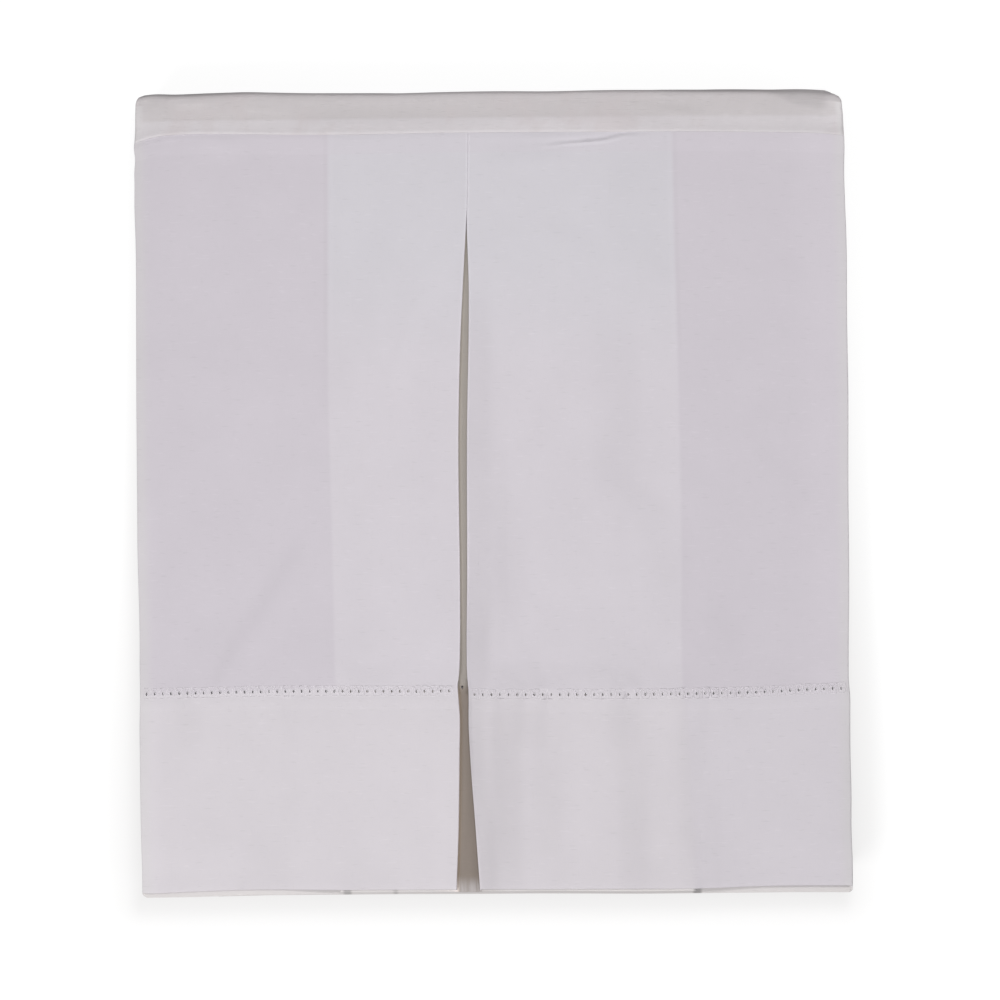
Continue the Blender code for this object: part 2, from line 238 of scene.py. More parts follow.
# Painted light and shade: soft patches where the drop's face looks a little darker or lighter, and the same
# for the deck's band
PAINTED_LIGHT_PATCHES = rows_of("x y half_width half_height tone", (
    (5, -150, 9, 50, -0.078), (8, -35, 9, 24, -0.024), (72, 15, 14, 55, -0.018),
    (88, -40, 10, 26, -0.018), (88, -92, 10, 7, -0.022), (-24, -165, 7, 40, 0.018),
    (108, -175, 5, 30, -0.022), (-135, -68, 34, 20, 0.012), (-130, 120, 44, 40, 0.009),
    (-124, -73, 6, 8, 0.012), (3.4, -30, 3.6, 75, -0.018), (1, -150, 4, 45, -0.016),
    (34.5, -150, 6, 42, -0.012), (-103, -140, 5, 38, -0.012), (28.5, 36, 9, 9, -0.015),
    (-63.5, 84, 6, 18, -0.015), (66, -82, 24, 8, -0.01), (48, -110, 28, 4, -0.01),
    (74, -192, 14, 10, -0.02), (-38, -73, 15, 14, 0.022), (140, -73, 14, 14, 0.018),
    (20, 171, 22, 5, -0.025), (-133, 171.5, 14, 5, 0.024), (-85, -109, 20, 8, -0.016),
    (-154, -112, 7, 18, -0.024), (76, 130, 16, 46, -0.018), (-45, -150, 24, 52, 0.012),
    (10, -20, 50, 50, -0.01), (62, 38, 12, 45, -0.027), (-78, 64, 9, 22, -0.02),
    (34, -91, 42, 7, -0.036), (66.5, -93, 8, 6, -0.022), (-63, -92, 12, 6, -0.028),
    (18, -117, 9, 12, -0.034), (25, -150, 8, 32, -0.026), (63.5, -112, 9, 13, -0.04),
    (69, -160, 8, 40, -0.038), (98.5, -150, 7, 50, -0.026), (-116, -184, 13, 16, -0.03),
    (-38, -189, 14, 12, 0.02),
))
BAND_PAINTED_LIGHT = rows_of("x y half_width half_height tone", (
    (-148, 200, 11, 7, 0.03), (43, 200, 48, 7, -0.035), (29, 200, 6, 7, -0.012),
    (15, 192, 100, 4.5, 0.025), (28, 184.5, 38, 3.5, 0.04), (60, 184.5, 9, 3.5, 0.025),
    (100, 184.5, 11, 3.5, 0.018), (-176, 186, 6, 7, 0.025), (180, 192, 18, 10, 0.06),
    (173, 198, 6, 7, 0.13), (157, 198, 9, 6, 0.045), (-150, 198, 8, 5, 0.045), (178, 186, 5, 8, 0.03),
))

# Painted shade beside the open pleat's right edge; on its very rim, painted light where the rim's tone is
# above zero and painted shade where it is below
OPENING_PAINTED_SHADE = rows_of("y tone reach rim", (
    (-200, -0.085, 5, 0.04), (-185, -0.09, 5, 0.02), (-168, -0.085, 5, -0.04), (-148, -0.098, 4, -0.07),
    (-130, -0.102, 4, -0.14), (-113, -0.08, 4, -0.15), (-98, -0.07, 5, -0.11), (-85, -0.08, 8, -0.05),
    (-72, -0.095, 8, -0.09), (-60, -0.075, 9, -0.04), (-35, -0.05, 9, 0.03), (0, -0.05, 9, 0),
    (75, -0.048, 8, 0), (110, 0, 6, 0),
))

# Painted shade under the hem's edge, where one looks into the dark between plies
HEM_PAINTED_SHADE = rows_of("x half_width tone", (
    (-75, 1.9, -0.34), (-50.8, 1, -0.24), (100.6, 2, -0.45),
))

# Painted shade and light along paths, for troughs and ridges that are too shallow to shade themselves
PAINTED_SHADE_STREAKS = paths_of(
    ((-92, -12, 7, 0), (-102, -30, 5, -0.022), (-118, -54, 5, -0.032), (-140, -92, 4, -0.026)),
    ((-18, 122, 4, 0.012), (-27, 104, 6, 0.014), (-38, 84, 8, 0.02), (-51, 37, 9, 0.01), (-62, 0, 9, 0)),
    ((46, 26, 7, 0), (60, 13, 6, -0.014), (92, -16, 6, -0.013), (108, -32, 6, 0)),
    ((120, 36, 5, 0), (140, 17, 5, -0.013), (166, -9, 5, -0.014), (174, -16, 5, 0)),
    ((5.5, 20, 4, 0), (7.5, -22, 5, -0.013), (15.7, -48, 6, -0.014), (32, -67, 6, 0)),
    ((107, -26, 5, 0), (113, -60, 6, -0.011), (124, -90, 6, -0.004)),
    ((10, 4, 6, 0), (24, -12, 7, 0.009), (42, -29, 7, 0)),
    ((-62, 16, 6, 0), (-67, -8, 6, -0.011), (-76, -42, 6, 0)),
)

# Soft ridges of the top ply along paths, or troughs where the height is below zero
CREASES = paths_of(
    # left panel: a long slanting trough that runs into the hemstitching, and its ridge
    ((-96, -12, 7, 0), (-113, -45, 5.5, -0.66), (-139, -88, 5, -0.24)),
    ((-86, -18, 7, 0), (-104, -50, 6, 0.36), (-124, -80, 6, 0)),
    ((-150, -104, 3, -0.38), (-150, -122, 4, 0)),
    ((-103.8, -103, 2.4, -0.42), (-100.3, -128, 3.5, 0)),
    ((-124, -104, 2.4, -0.19), (-124, -120, 4, 0)),
    ((-160, 60, 20, -0.16), (-120, -10, 24, -0.35), (-150, -80, 20, 0)),
    ((-60, 60, 14, 0), (-50, 0, 14, 0.26), (-44, -80, 12, 0.16)),
    ((-30, 100, 8, 0), (-36, 30, 8, -0.19), (-40, -50, 8, 0)),
    ((-20, 120, 5, 0), (-34, 78, 8, 0.26), (-56, 8, 10, 0)),
    ((-44, -84, 9, -0.22), (-27, -90, 7, -0.2)),
    # right of the pleat: it pulls down from the opening
    ((3.7, 30, 7, 0), (10.4, -53.6, 6, -0.45), (22.5, -90, 6, -0.3)),
    ((8.4, 52, 9, 0), (18.9, -10.2, 8, 0.38), (36, -72, 9, 0)),
    ((42, 34, 9, 0), (57, 16, 8, -0.38), (81, -4, 8, -0.36), (103, -28, 8, 0)),
    ((50, 16, 9, 0), (72, -22, 8, 0.32), (92, -56, 8, 0)),
    ((-3, 0, 6, 0), (1, -50, 5, 0.24), (12, -90, 5, 0)),
    # right panel
    ((120, 38, 6, 0), (146, 11, 6, -0.26), (168, -12, 6, 0)),
    ((145, 24, 9, 0), (154, 0, 8, 0.29), (163, -22, 8, 0)),
    ((118, 60, 14, 0), (122, -20, 16, -0.26), (120, -80, 14, 0)),
    # puckers above the hemstitching
    ((13, -86, 2.4, 0), (13.6, -93, 3, -0.3)),
    ((24, -85, 2.4, 0), (24.4, -93, 3, -0.3)),
    ((61, -84, 2.6, 0), (62.6, -93, 3, -0.42)),
    ((67, -84, 2.6, 0), (71, -93, 3, -0.38)),
    # hem, right: straight troughs below the hemstitching, with ridges between
    ((2.9, -104, 2.2, -0.42), (3, -122, 3.5, 0)),
    ((14.4, -104, 2.2, -0.45), (14.2, -125, 3.5, 0)),
    ((26.4, -103, 2.4, -0.67), (24.1, -129, 3.6, -0.19), (24, -150, 4, 0)),
    ((53, -105, 2.2, -0.32), (52, -122, 3.5, 0)),
    ((66.6, -103, 2.4, -0.6), (63.5, -120, 4, -0.26), (69, -150, 6, -0.34), (73.7, -178, 6, 0)),
    ((96.9, -104, 2.4, -0.34), (98.5, -135, 4.5, -0.22), (101.5, -172, 4, -0.42), (103, -192, 4, -0.4)),
    ((106, -105, 2.2, -0.26), (109.5, -120, 3.5, -0.12), (113, -180, 7, 0)),
    ((16, -130, 6, 0), (18, -160, 7, 0.42), (19, -195, 7, 0.16)),
    ((44, -125, 6, 0), (45, -165, 7, 0.38), (46, -195, 7, 0.16)),
    ((88, -105, 5, 0.26), (88, -160, 6, 0.35), (90, -195, 7, 0.16)),
    ((32, -140, 6, 0), (32, -170, 6, -0.22), (33, -195, 6, 0)),
    # the hem's edge, lifted here and there
    ((-79, -199, 2, 0), (-73, -199.4, 2, 0.9), (-67, -199, 2, 0)),
    ((-53, -199.4, 1.4, 0), (-51, -199.4, 1.4, 0.6), (-49, -199.4, 1.4, 0)),
    ((96, -199.6, 1.6, 0), (99.5, -199.6, 1.6, 0.9), (103, -199.6, 1.6, 0)),
    # just under the seam, where the drop is a little too full
    ((22, 172.4, 1, 0), (36, 174.3, 0.8, 0.34), (54, 175.6, 0.8, 0.62), (60, 176.5, 0.8, 0.56),
     (66, 178.3, 0.8, 0.28), (79, 178.8, 1, 0)),
    ((26, 174.4, 2.2, 0), (36, 175.8, 1.9, -0.26), (54, 177.2, 1.7, -0.54), (60, 178, 1.5, -0.48),
     (66, 179.6, 1.2, -0.24), (79, 180, 1.4, 0)),
    ((-172, 176.6, 2.4, -0.16), (-152, 178.6, 2, -0.1), (-130, 179, 2, 0)),
    # wide unevenness
    ((-150, 150, 34, -0.35), (-120, 70, 34, 0.29)),
    ((30, 140, 30, 0.29), (60, 80, 30, -0.22)),
    ((140, 120, 34, 0.26), (130, 30, 34, -0.26)),
    ((-60, -140, 30, 0.29), (-120, -160, 30, -0.26)),
    ((150, -130, 26, 0.26), (140, -170, 26, -0.19)),
)

# The same for the deck's band, where the muslin turns over
BAND_CREASES = paths_of(
    ((-174, 197, 2.2, -0.15), (-165, 199, 1.6, -1.05), (-156, 200.2, 1.4, -0.1)),
    ((-150, 196, 4, 0.45), (-110, 197, 4.5, 0.52), (-70, 197, 4, 0)),
    ((70, 192, 2.4, 0), (92, 190.6, 2, 0.33), (112, 189, 2.4, 0)),
    ((-120, 190.6, 1.6, -0.24), (-100, 190.2, 1.6, 0)),
    ((40, 198, 3, -0.45), (70, 199.6, 3, -0.15)),
)

# The band's right corner is bent down beyond a line
BENT_CORNER = rows_of("x y", (
    (134, 202), (138, 199.4), (146, 196), (153, 192.9), (160.6, 191.8), (177, 191.4),
))
CORNER_SLOPE = 0.33           # beyond that line
CORNER_SOFTNESS = 0.08        # of the bend itself, in square millimetres
CORNER_END = (168.0, 173.0)   # across which the bend fades out again


def soft_step(low, high, value):
    """0 up to low, 1 from high on, and a soft rise in between."""
    share = np.clip((value - low) / (high - low), 0.0, 1.0)
    return share * share * (3 - 2 * share)


def column_of(table, name):
    return np.array([getattr(row, name) for row in table], float)


def read(table, key, column, place):
    """A column's value at places between the rows of a table whose key rises, without corners."""
    keys = column_of(table, key)
    values = column_of(table, column)
    slopes = np.gradient(values, keys)
    place = np.clip(place, keys[0], keys[-1])
    before = np.clip(np.searchsorted(keys, place) - 1, 0, len(keys) - 2)
    span = keys[before + 1] - keys[before]
    share = (place - keys[before]) / span
    rise = share * share * (3 - 2 * share)
    leaving = share * (1 - share) ** 2 * span * slopes[before]
    arriving = share * share * (share - 1) * span * slopes[before + 1]
    return values[before] + rise * (values[before + 1] - values[before]) + leaving + arriving


def fold_at(table, side, y):
    """Place of a pair's left or right fold; the pleat's edges never cross."""
    place = read(table, "y", "left" if side == LEFT else "right", y)
    if table is PLEAT_EDGES and side == RIGHT:
        return np.maximum(place, fold_at(PLEAT_EDGES, LEFT, y) + CLOSED_GAP)
    return place


def inward(table, x, y):
    """How far a place lies past a pair's left fold, and before its right one."""
    return x - fold_at(table, LEFT, y), fold_at(table, RIGHT, y) - x


def seam_at(x):
    """Where along Y the seam runs."""
    return read(SEAM_LINE, "x", "y", x)


def crease_height(path, x, y):
    """Height of one crease at places of the cloth: that of the nearest stretch of its path."""
    nearest = np.full(np.shape(x), np.inf)
    height = np.zeros(np.shape(x))
    for start, end in zip(path, path[1:]):
        run_x = end.x - start.x
        run_y = end.y - start.y
        share = ((x - start.x) * run_x + (y - start.y) * run_y) / (run_x ** 2 + run_y ** 2)
        share = np.clip(share, 0.0, 1.0)
        distance = np.hypot(x - start.x - share * run_x, y - start.y - share * run_y)
        width = start.width + share * (end.width - start.width)
        crest = start.height + share * (end.height - start.height)
        closer = distance < nearest
        height = np.where(closer, crest * np.exp(-(distance / width) ** 2), height)
        nearest = np.where(closer, distance, nearest)
    return height


def square_reach(out, up, squareness=PRESSED_FOLD):
    """How much further a pressed fold reaches than a round one, in this direction from its centre."""
    return (np.abs(out) ** squareness + np.abs(up) ** squareness) ** (-1.0 / squareness)


Column = namedtuple("Column", "x height normal_x normal_height fine")


class Section:
    """The middle line of a strip that is folded across, laid down ply by ply for every row at once.

    The strip's face is on the left of the way it runs: up where it runs towards +X. Each column
    has a place and a normal for every row, and says whether only the fine rows have it.
    """

    def __init__(self, start_x, height, cloth):
        self.x = np.asarray(start_x, float)
        self.height = np.asarray(height, float)
        self.cloth = cloth
        self.level = False
        self.columns = []
        self.hole_columns = []

    def add(self, x, height, normal_x, normal_height, fine=False):
        self.columns.append(Column(x, height, normal_x, normal_height, fine))

    def lay(self, end_x, steps, parts):
        """Even steps of a level ply; where it has begun, its last column is the first of them."""
        up = np.where(np.mean(end_x) > np.mean(self.x), 1.0, -1.0)
        first = len(self.columns) - 1 if self.level else len(self.columns)
        for step in range(len(self.columns) - first, steps + 1):
            self.add(self.x + (end_x - self.x) * step / steps, self.height, 0.0, up, step % parts != 0)
        self.x = end_x
        self.level = True
        return first

    def run(self, end_x, steps, parts=1):
        """A level ply in even steps, each of them in fine parts."""
        self.lay(end_x, steps * parts, parts)

    def holed_run(self, end_x, holes):
        """A level ply with a row of evenly spaced holes, the first one right at its start."""
        first = self.lay(end_x, HOLE_STEPS * holes - BLOCK_STEPS, BLOCK_STEPS)
        self.hole_columns += [first + HOLE_STEPS * hole for hole in range(holes)]

    def turn_start(self, outermost, side, next_height):
        """Where a ply ends and the half turn to the next height starts."""
        return outermost - side * (abs(next_height - self.height) / 2 + self.cloth / 2)

    def turn(self, side, next_height, angles=TURN_ANGLES, squareness=PRESSED_FOLD):
        """A fold: half a turn to the next height, squarer than a circle."""
        middle = (self.height + next_height) / 2
        radius = abs(self.height - middle)
        for degrees in angles:
            angle = math.radians(degrees)
            reach = square_reach(math.sin(angle), math.cos(angle), squareness)
            self.add(
                self.x + side * radius * reach * math.sin(angle),
                middle + (self.height - middle) * reach * math.cos(angle),
                -(middle - self.height) / radius * reach * math.sin(angle),
                side * reach * math.cos(angle),
            )
        self.height = next_height
        self.level = False

    def run_and_turn(self, outermost, side, next_height, steps, parts=1, **fold):
        """A level ply as far as its fold reaches, and the half turn to the next height."""
        self.run(self.turn_start(outermost, side, next_height), steps, parts)
        self.turn(side, next_height, **fold)

    def grid(self, rows):
        """Arrays by row and column: x, height, normal x, normal height."""
        parts = list(zip(*self.columns))[:4]
        return [np.stack([np.broadcast_to(value, rows) for value in part], axis=1) for part in parts]

    def coarse_columns(self):
        return [number for number, column in enumerate(self.columns) if not column.fine]


def drop_heights(y):
    """Heights of the drop's plies: two flaps, underlay, returns, front, pressed together from below."""
    room = PLY_ROOM + (HEM_PLY_ROOM - PLY_ROOM) * soft_step(0.0, HEM_RISE, HEM_TOP + HEM_RISE - y)
    pitch = room + AIR
    top = DROP_BASE + room / 2 + (DROP_PLIES - 1) * pitch
    return [top - (DROP_PLIES - 1 - ply) * (pitch - PRESSED) for ply in range(DROP_PLIES)]


def beside_pleat(x, y):
    """1 where the top ply has no pleat under it, 0 over the pleat."""
    past_left, before_right = inward(INNER_FOLDS, x, y)
    left = soft_step(-1.0, SAG_LEFT_WIDTH, -past_left)
    right = soft_step(-2.0, SAG_RIGHT_WIDTH, -before_right)
    return np.maximum(left, right)


def settled(x, y, z):
    """Points moved as the top ply sags and creases, and as the sides fall away."""
    heights = drop_heights(y)
    flap, front = heights[1], heights[-1]
    share = np.clip((z - flap - PLY_ROOM / 2) / (front - flap - PLY_ROOM), 0.0, 1.0)
    beside = beside_pleat(x, y)
    lift = -SAG * beside * (1.0 - soft_step(SEAM + SAG_ENDS[0], SEAM + SAG_ENDS[1], y))
    lift = lift - DROOP * beside * soft_step(0.0, DROOP_DEPTH, HEM_EDGE + DROOP_DEPTH - y)
    drop_only = 1.0 - soft_step(SEAM - 0.6, SEAM + 1.0, y - seam_at(x) + SEAM)
    for path in CREASES:
        lift = lift + crease_height(path, x, y) * drop_only
    for path in BAND_CREASES:
        lift = lift + crease_height(path, x, y) * (1 - drop_only)
    past_bend = np.maximum(np.maximum(BENDS[0] - x, x - BENDS[1]), 0.0)
    return x, y, z + lift * share - SIDE_SLOPE * past_bend * z / front


def row_arrays(rows, columns, names):
    """Values of the rows, spread over all columns."""
    return [np.broadcast_to(column_of(rows, name)[:, None], (len(rows), columns)) for name in names]


def along(x, height):
    """Length along each row's middle line, from the strip's start."""
    steps = np.hypot(np.diff(x, axis=1), np.diff(height, axis=1))
    return np.concatenate([np.zeros((len(x), 1)), np.cumsum(steps, axis=1)], axis=1)


Hole = namedtuple("Hole", "row column half_width half_height")


def block_outline(hole):
    """Corners of the cells around a hole's block, from its lowest, leftmost one."""
    row, column = hole.row, hole.column
    steps = range(BLOCK_STEPS)
    return (
        [(row, column + step) for step in steps]
        + [(row + step, column + BLOCK_STEPS) for step in steps]
        + [(row + BLOCK_STEPS, column + BLOCK_STEPS - step) for step in steps]
        + [(row + BLOCK_STEPS - step, column) for step in steps]
    )


class Sheet:
    """A closed sheet around a grid of its middle points, with holes cut where they are asked for.

    Only the fine rows have the fine columns' points. A mark is a value that each point carries.
    """

    def __init__(self, middle, normal, thickness, cloth_place, coarse_columns, fine_rows, settle):
        self.rows, self.columns = middle.shape[:2]
        self.coarse = coarse_columns
        self.fine_rows = fine_rows
        self.cloth_place = cloth_place
        self.holes = []
        self.marks = {}
        self.points = []
        self.places = []
        self.faces = []
        offset = normal * (thickness / 2)[..., None]
        self.sides = [
            np.stack(settle(*np.moveaxis(middle + way * offset, -1, 0)), axis=-1) for way in (1, -1)
        ]

    def cut_hole(self, row, column, half_width, half_height):
        """A hole in the block of cells whose lowest, leftmost corner is this one."""
        self.holes.append(Hole(row, column, half_width, half_height))

    def hole_centre(self, row, column, side=0):
        return self.sides[side][row + BLOCK_MIDDLE, column + BLOCK_MIDDLE]

    def add_point(self, point, place):
        """A point that carries the marks of this place of the grid; returns its number."""
        self.points.append(point)
        self.places.append(place)
        return len(self.points) - 1

    def add_grid(self):
        """The points of both sides, numbered by row and column."""
        coarse = set(self.coarse)
        self.numbers = [np.full((self.rows, self.columns), -1) for _ in self.sides]
        for side, numbers in zip(self.sides, self.numbers):
            for row in range(self.rows):
                for column in range(self.columns):
                    if column in coarse or row in self.fine_rows:
                        numbers[row, column] = self.add_point(side[row, column], (row, column))

    def points_between(self, row, first, last):
        return [column for column in range(first, last + 1) if self.numbers[0][row, column] >= 0]

    def cells(self, row, first, last):
        """Between two coarse columns: the fine cells, or one cell where the rows differ."""
        lower = self.points_between(row, first, last)
        upper = self.points_between(row + 1, first, last)
        if len(lower) != len(upper):
            return [(lower, upper)]
        return [([start, end], [start, end]) for start, end in zip(lower, lower[1:])]

    def add_cloth(self):
        block = range(BLOCK_STEPS)
        cut = {(hole.row + up, hole.column + on) for hole in self.holes for up in block for on in block}
        front, back = self.numbers
        for row in range(self.rows - 1):
            for first, last in zip(self.coarse, self.coarse[1:]):
                for below, above in self.cells(row, first, last):
                    if (row, below[0]) in cut:
                        continue
                    outline = [(row, column) for column in below]
                    outline += [(row + 1, column) for column in reversed(above)]
                    self.faces.append([front[place] for place in outline])
                    self.faces.append([back[place] for place in reversed(outline)])

    def add_rim(self, side, hole):
        """Points of a hole's rim on one side of the cloth, drawn in from its block's outline."""
        centre = self.hole_centre(hole.row, hole.column, side)
        rim = []
        for place in block_outline(hole):
            arm = self.sides[side][place] - centre
            reach = math.hypot(arm[0] / hole.half_width, arm[1] / hole.half_height)
            rim.append(self.add_point(centre + arm / reach, place))
        return rim

    def add_hole(self, hole):
        outline = block_outline(hole)
        front, back = ([numbers[place] for place in outline] for numbers in self.numbers)
        front_rim = self.add_rim(0, hole)
        back_rim = self.add_rim(1, hole)
        for step in range(len(front)):
            after = (step + 1) % len(front)
            self.faces.append([front[step], front[after], front_rim[after], front_rim[step]])
            self.faces.append([back[after], back[step], back_rim[step], back_rim[after]])
            self.faces.append([front_rim[step], front_rim[after], back_rim[after], back_rim[step]])

    def close_edge(self, start, end, way=1):
        """A face through the cloth's thickness, from one place on an edge to the next."""
        front, back = self.numbers
        self.faces.append([front[start], back[start], back[end], front[end]][::way])

    def add_edges(self):
        last_row = self.rows - 1
        last_column = self.columns - 1
        for row, way in ((0, 1), (last_row, -1)):
            edge = self.points_between(row, 0, last_column)
            for start, end in zip(edge, edge[1:]):
                self.close_edge((row, start), (row, end), way)
        for row in range(last_row):
            self.close_edge((row + 1, 0), (row, 0))
            self.close_edge((row, last_column), (row + 1, last_column))

    def at_points(self, values):
        """Values of the grid, one for each point."""
        return np.array([values[place] for place in self.places])

    def build(self, name, material):
        """The sheet as an object."""
        self.add_grid()
        self.add_cloth()
        for hole in self.holes:
            self.add_hole(hole)
        self.add_edges()
        marks = {mark_name: self.at_points(values) for mark_name, values in self.marks.items()}
        return mesh_piece(name, self.points, self.faces, self.at_points(self.cloth_place), marks, material)


def added(name, data):
    """A new object in the scene."""
    item = bpy.data.objects.new(name, data)
    bpy.context.scene.collection.objects.link(item)
    return item


def mesh_piece(name, points, faces, uv, marks, material):
    """A mesh object from points in millimetres, with its cloth places as UV and its marks."""
    mesh = bpy.data.meshes.new(name)
    mesh.from_pydata(np.array(points) * MM, [], faces)
    corners = np.zeros(len(mesh.loops), int)
    mesh.loops.foreach_get("vertex_index", corners)
    layer = mesh.uv_layers.new(name="cloth_place")
    layer.uv.foreach_set("vector", (uv[corners] * MM).astype(np.float32).ravel())
    for mark_name, values in marks.items():
        attribute = mesh.attributes.new(mark_name, "FLOAT", "POINT")
        attribute.data.foreach_set("value", values.astype(np.float32))
    mesh.shade_smooth()
    mesh.set_sharp_from_angle(angle=math.radians(SHARP_ANGLE))
    mesh.materials.append(material)
    mesh.validate()
    return added(name, mesh)


def spaced(start, end, pitch):
    """Even places from start to end, both included, about a pitch apart."""
    return np.linspace(start, end, max(int(round(abs(end - start) / pitch)), 1) + 1)


DropRow = namedtuple("DropRow", "y cloth fine")


def cloth_at(y):
    """Thickness of the drop's cloth: thick in the hem, thickest where its edge is tucked under."""
    hem = soft_step(-1.0, 3.0, BAND_BOTTOM - y)
    turning = soft_step(-0.8, 0.8, y - BAND_BOTTOM + TURNING)
    above = soft_step(-1.0, 3.0, y - HEM_TOP)
    band = 1.0 - np.maximum(hem, above)
    thick = FACE_CLOTH * above + (HEM_CLOTH + (HEM_TURNING - HEM_CLOTH) * turning) * hem
    return thick + STITCHED_CLOTH * band


def drop_rows():
    """Rows of the drop from its rounded hem edge up to the roll into the seam."""
    rows = []
    nose = HEM_CLOTH / 2
    for angle in np.radians(NOSE_ANGLES):
        rows.append(DropRow(HEM_EDGE + nose * (1 - math.cos(angle)), HEM_CLOTH * math.sin(angle), False))
    block = np.linspace(-HOLE_BLOCK, HOLE_BLOCK, BLOCK_STEPS + 1)
    fine = [BAND_BOTTOM - 1.0, BAND_BOTTOM - 0.45, BAND_BOTTOM, BAND_BOTTOM + 0.45]
    fine += [*(BAND_MIDDLE + block), HEM_TOP - 0.45, HEM_TOP, HEM_TOP + 0.45, HEM_TOP + 1.0]
    turning = BAND_BOTTOM - TURNING
    hem = [*spaced(HEM_EDGE + nose, turning - 1.2, HEM_ROW_PITCH), turning - 0.4, turning + 0.4]
    hem += [*spaced(turning + 1.2, BAND_BOTTOM - 1.8, 1.4)]
    upper = [
        *spaced(HEM_TOP + 2.0, HEM_TOP + 14.0, 1.8),
        *spaced(HEM_TOP + 17.0, SEAM - 22.0, UPPER_ROW_PITCH),
        *spaced(SEAM - 19.0, SEAM - 12.0, 1.8),
        *spaced(SEAM - 11.2, SEAM - 1.0, 0.6),
        *(SEAM - below for below in (0.6, 0.3, 0.1, 0.0)),
    ]
    for stretch in (hem, fine, upper):
        rows += [DropRow(y, cloth_at(y), stretch is fine) for y in stretch]
    return rows


def drop_section(y, cloth):
    """The drop across its width, from the left flap's end to the right flap's."""
    right_flap, left_flap, underlay, returns, front = drop_heights(y)
    sewn_shut = PRESSED_FOLD + (SEWN_FOLD - PRESSED_FOLD) * soft_step(PLEAT_OPENS - 14.0, PLEAT_OPENS, y)
    side_fold = {"angles": OUTER_ANGLES, "squareness": OUTER_FOLD}
    pleat_fold = {"angles": CREASED_ANGLES, "squareness": sewn_shut}
    side_left, side_right, pleat_left, pleat_right, inner_left, inner_right = (
        fold_at(table, side, y) for table in (SIDE_FOLDS, PLEAT_EDGES, INNER_FOLDS) for side in (LEFT, RIGHT)
    )
    section = Section(FLAP_END + 0 * y, left_flap, cloth)
    section.run_and_turn(side_left, LEFT, front, steps=12, **side_fold)
    section.holed_run(pleat_left - LEFT_HOLES_END, LEFT_HOLES)
    section.run_and_turn(pleat_left, RIGHT, returns, steps=1, **pleat_fold)
    section.run_and_turn(inner_left, LEFT, underlay, steps=5)
    section.run(UNDERLAY_HOLED[0] + 0 * y, steps=4)
    section.holed_run(UNDERLAY_HOLED[1] + 0 * y, UNDERLAY_HOLES)
    section.run_and_turn(inner_right, RIGHT, returns, steps=8)
    section.run_and_turn(pleat_right, LEFT, front, steps=8, **pleat_fold)
    section.run(pleat_right + RIGHT_HOLES_START, steps=1)
    section.holed_run(section.turn_start(side_right, RIGHT, right_flap), RIGHT_HOLES)
    section.turn(RIGHT, right_flap, **side_fold)
    section.run(-FLAP_END + 0 * y, steps=12)
    return section


def seam_roll(distance, x):
    """How far a rolled edge lies below the cloth, this far from the seam; flatter towards the right."""
    return SEAM_ROLL * (1.0 - 0.9 * soft_step(40.0, 120.0, x)) * (1.0 - soft_step(0.0, 2.4, distance)) ** 2


def painted_patches(patches, x, y):
    """How much lighter or darker the cloth is painted here, by its patches of painted light and shade."""
    tone = 0.0 * x
    for patch in patches:
        across = ((x - patch.x) / patch.half_width) ** 4
        tone = tone + patch.tone * np.exp(-across - ((y - patch.y) / patch.half_height) ** 4)
    return tone


def face_painted_light(x, y):
    """Painted light and shade of the drop's top ply: its patches and streaks, its sides, and the strip
    beside the open pleat with its rim.
    """
    past_edge = x - fold_at(PLEAT_EDGES, RIGHT, y)
    reach = read(OPENING_PAINTED_SHADE, "y", "reach", y)
    beside = (1.0 - soft_step(reach, reach + 7.0, past_edge)) * (past_edge > -1.0)
    tone = painted_patches(PAINTED_LIGHT_PATCHES, x, y) + read(OPENING_PAINTED_SHADE, "y", "tone", y) * beside
    for path in PAINTED_SHADE_STREAKS:
        tone = tone + crease_height(path, x, y)
    right = 0.036 * soft_step(146.0, 168.0, x) * soft_step(BAND_BOTTOM, HEM_TOP + 4, y)
    left = 0.03 * soft_step(80.0, -40.0, y) + 0.022 * soft_step(-90.0, -150.0, y)
    left = left * soft_step(-164.0, -176.0, x)
    rim = read(OPENING_PAINTED_SHADE, "y", "rim", y) * (1 - soft_step(0.3, 2.0, past_edge)) * (past_edge > -1.0)
    return tone + right + left + rim


def hem_shift(x, ply, on_top):
    """How far the hem's edge lies from where evenly folded cloth would have it."""
    step = np.interp(ply, range(DROP_PLIES), HEM_STEPS)
    left_flap = 1 - np.minimum(np.abs(ply - 1), 1)
    step = step + LEFT_FLAP_STEP * soft_step(-100.0, 60.0, x) * left_flap
    line = read(HEM_LINES, "x", "front", x) * on_top + read(HEM_LINES, "x", "under", x) * (1 - on_top)
    return step + HEM_SLANT * x + line


def strayed(x, y, ply, on_top, strip):
    """Where a place of the drop ends up along Y: on the seam, at its hem's edge, or in between."""
    placed = y + (seam_at(x) - SEAM_GAP / 2 - SEAM) * soft_step(140.0, SEAM, y)
    placed = placed + hem_shift(x, ply, on_top) * soft_step(0.0, HEM_DEPTH, HEM_TOP - y)
    share = soft_step(-165.0, BAND_BOTTOM - 4, y) * (1 - soft_step(HEM_TOP + 4, -48.0, y))
    return placed + read(HEMSTITCH_STRAY, "along", "rise", strip) * share


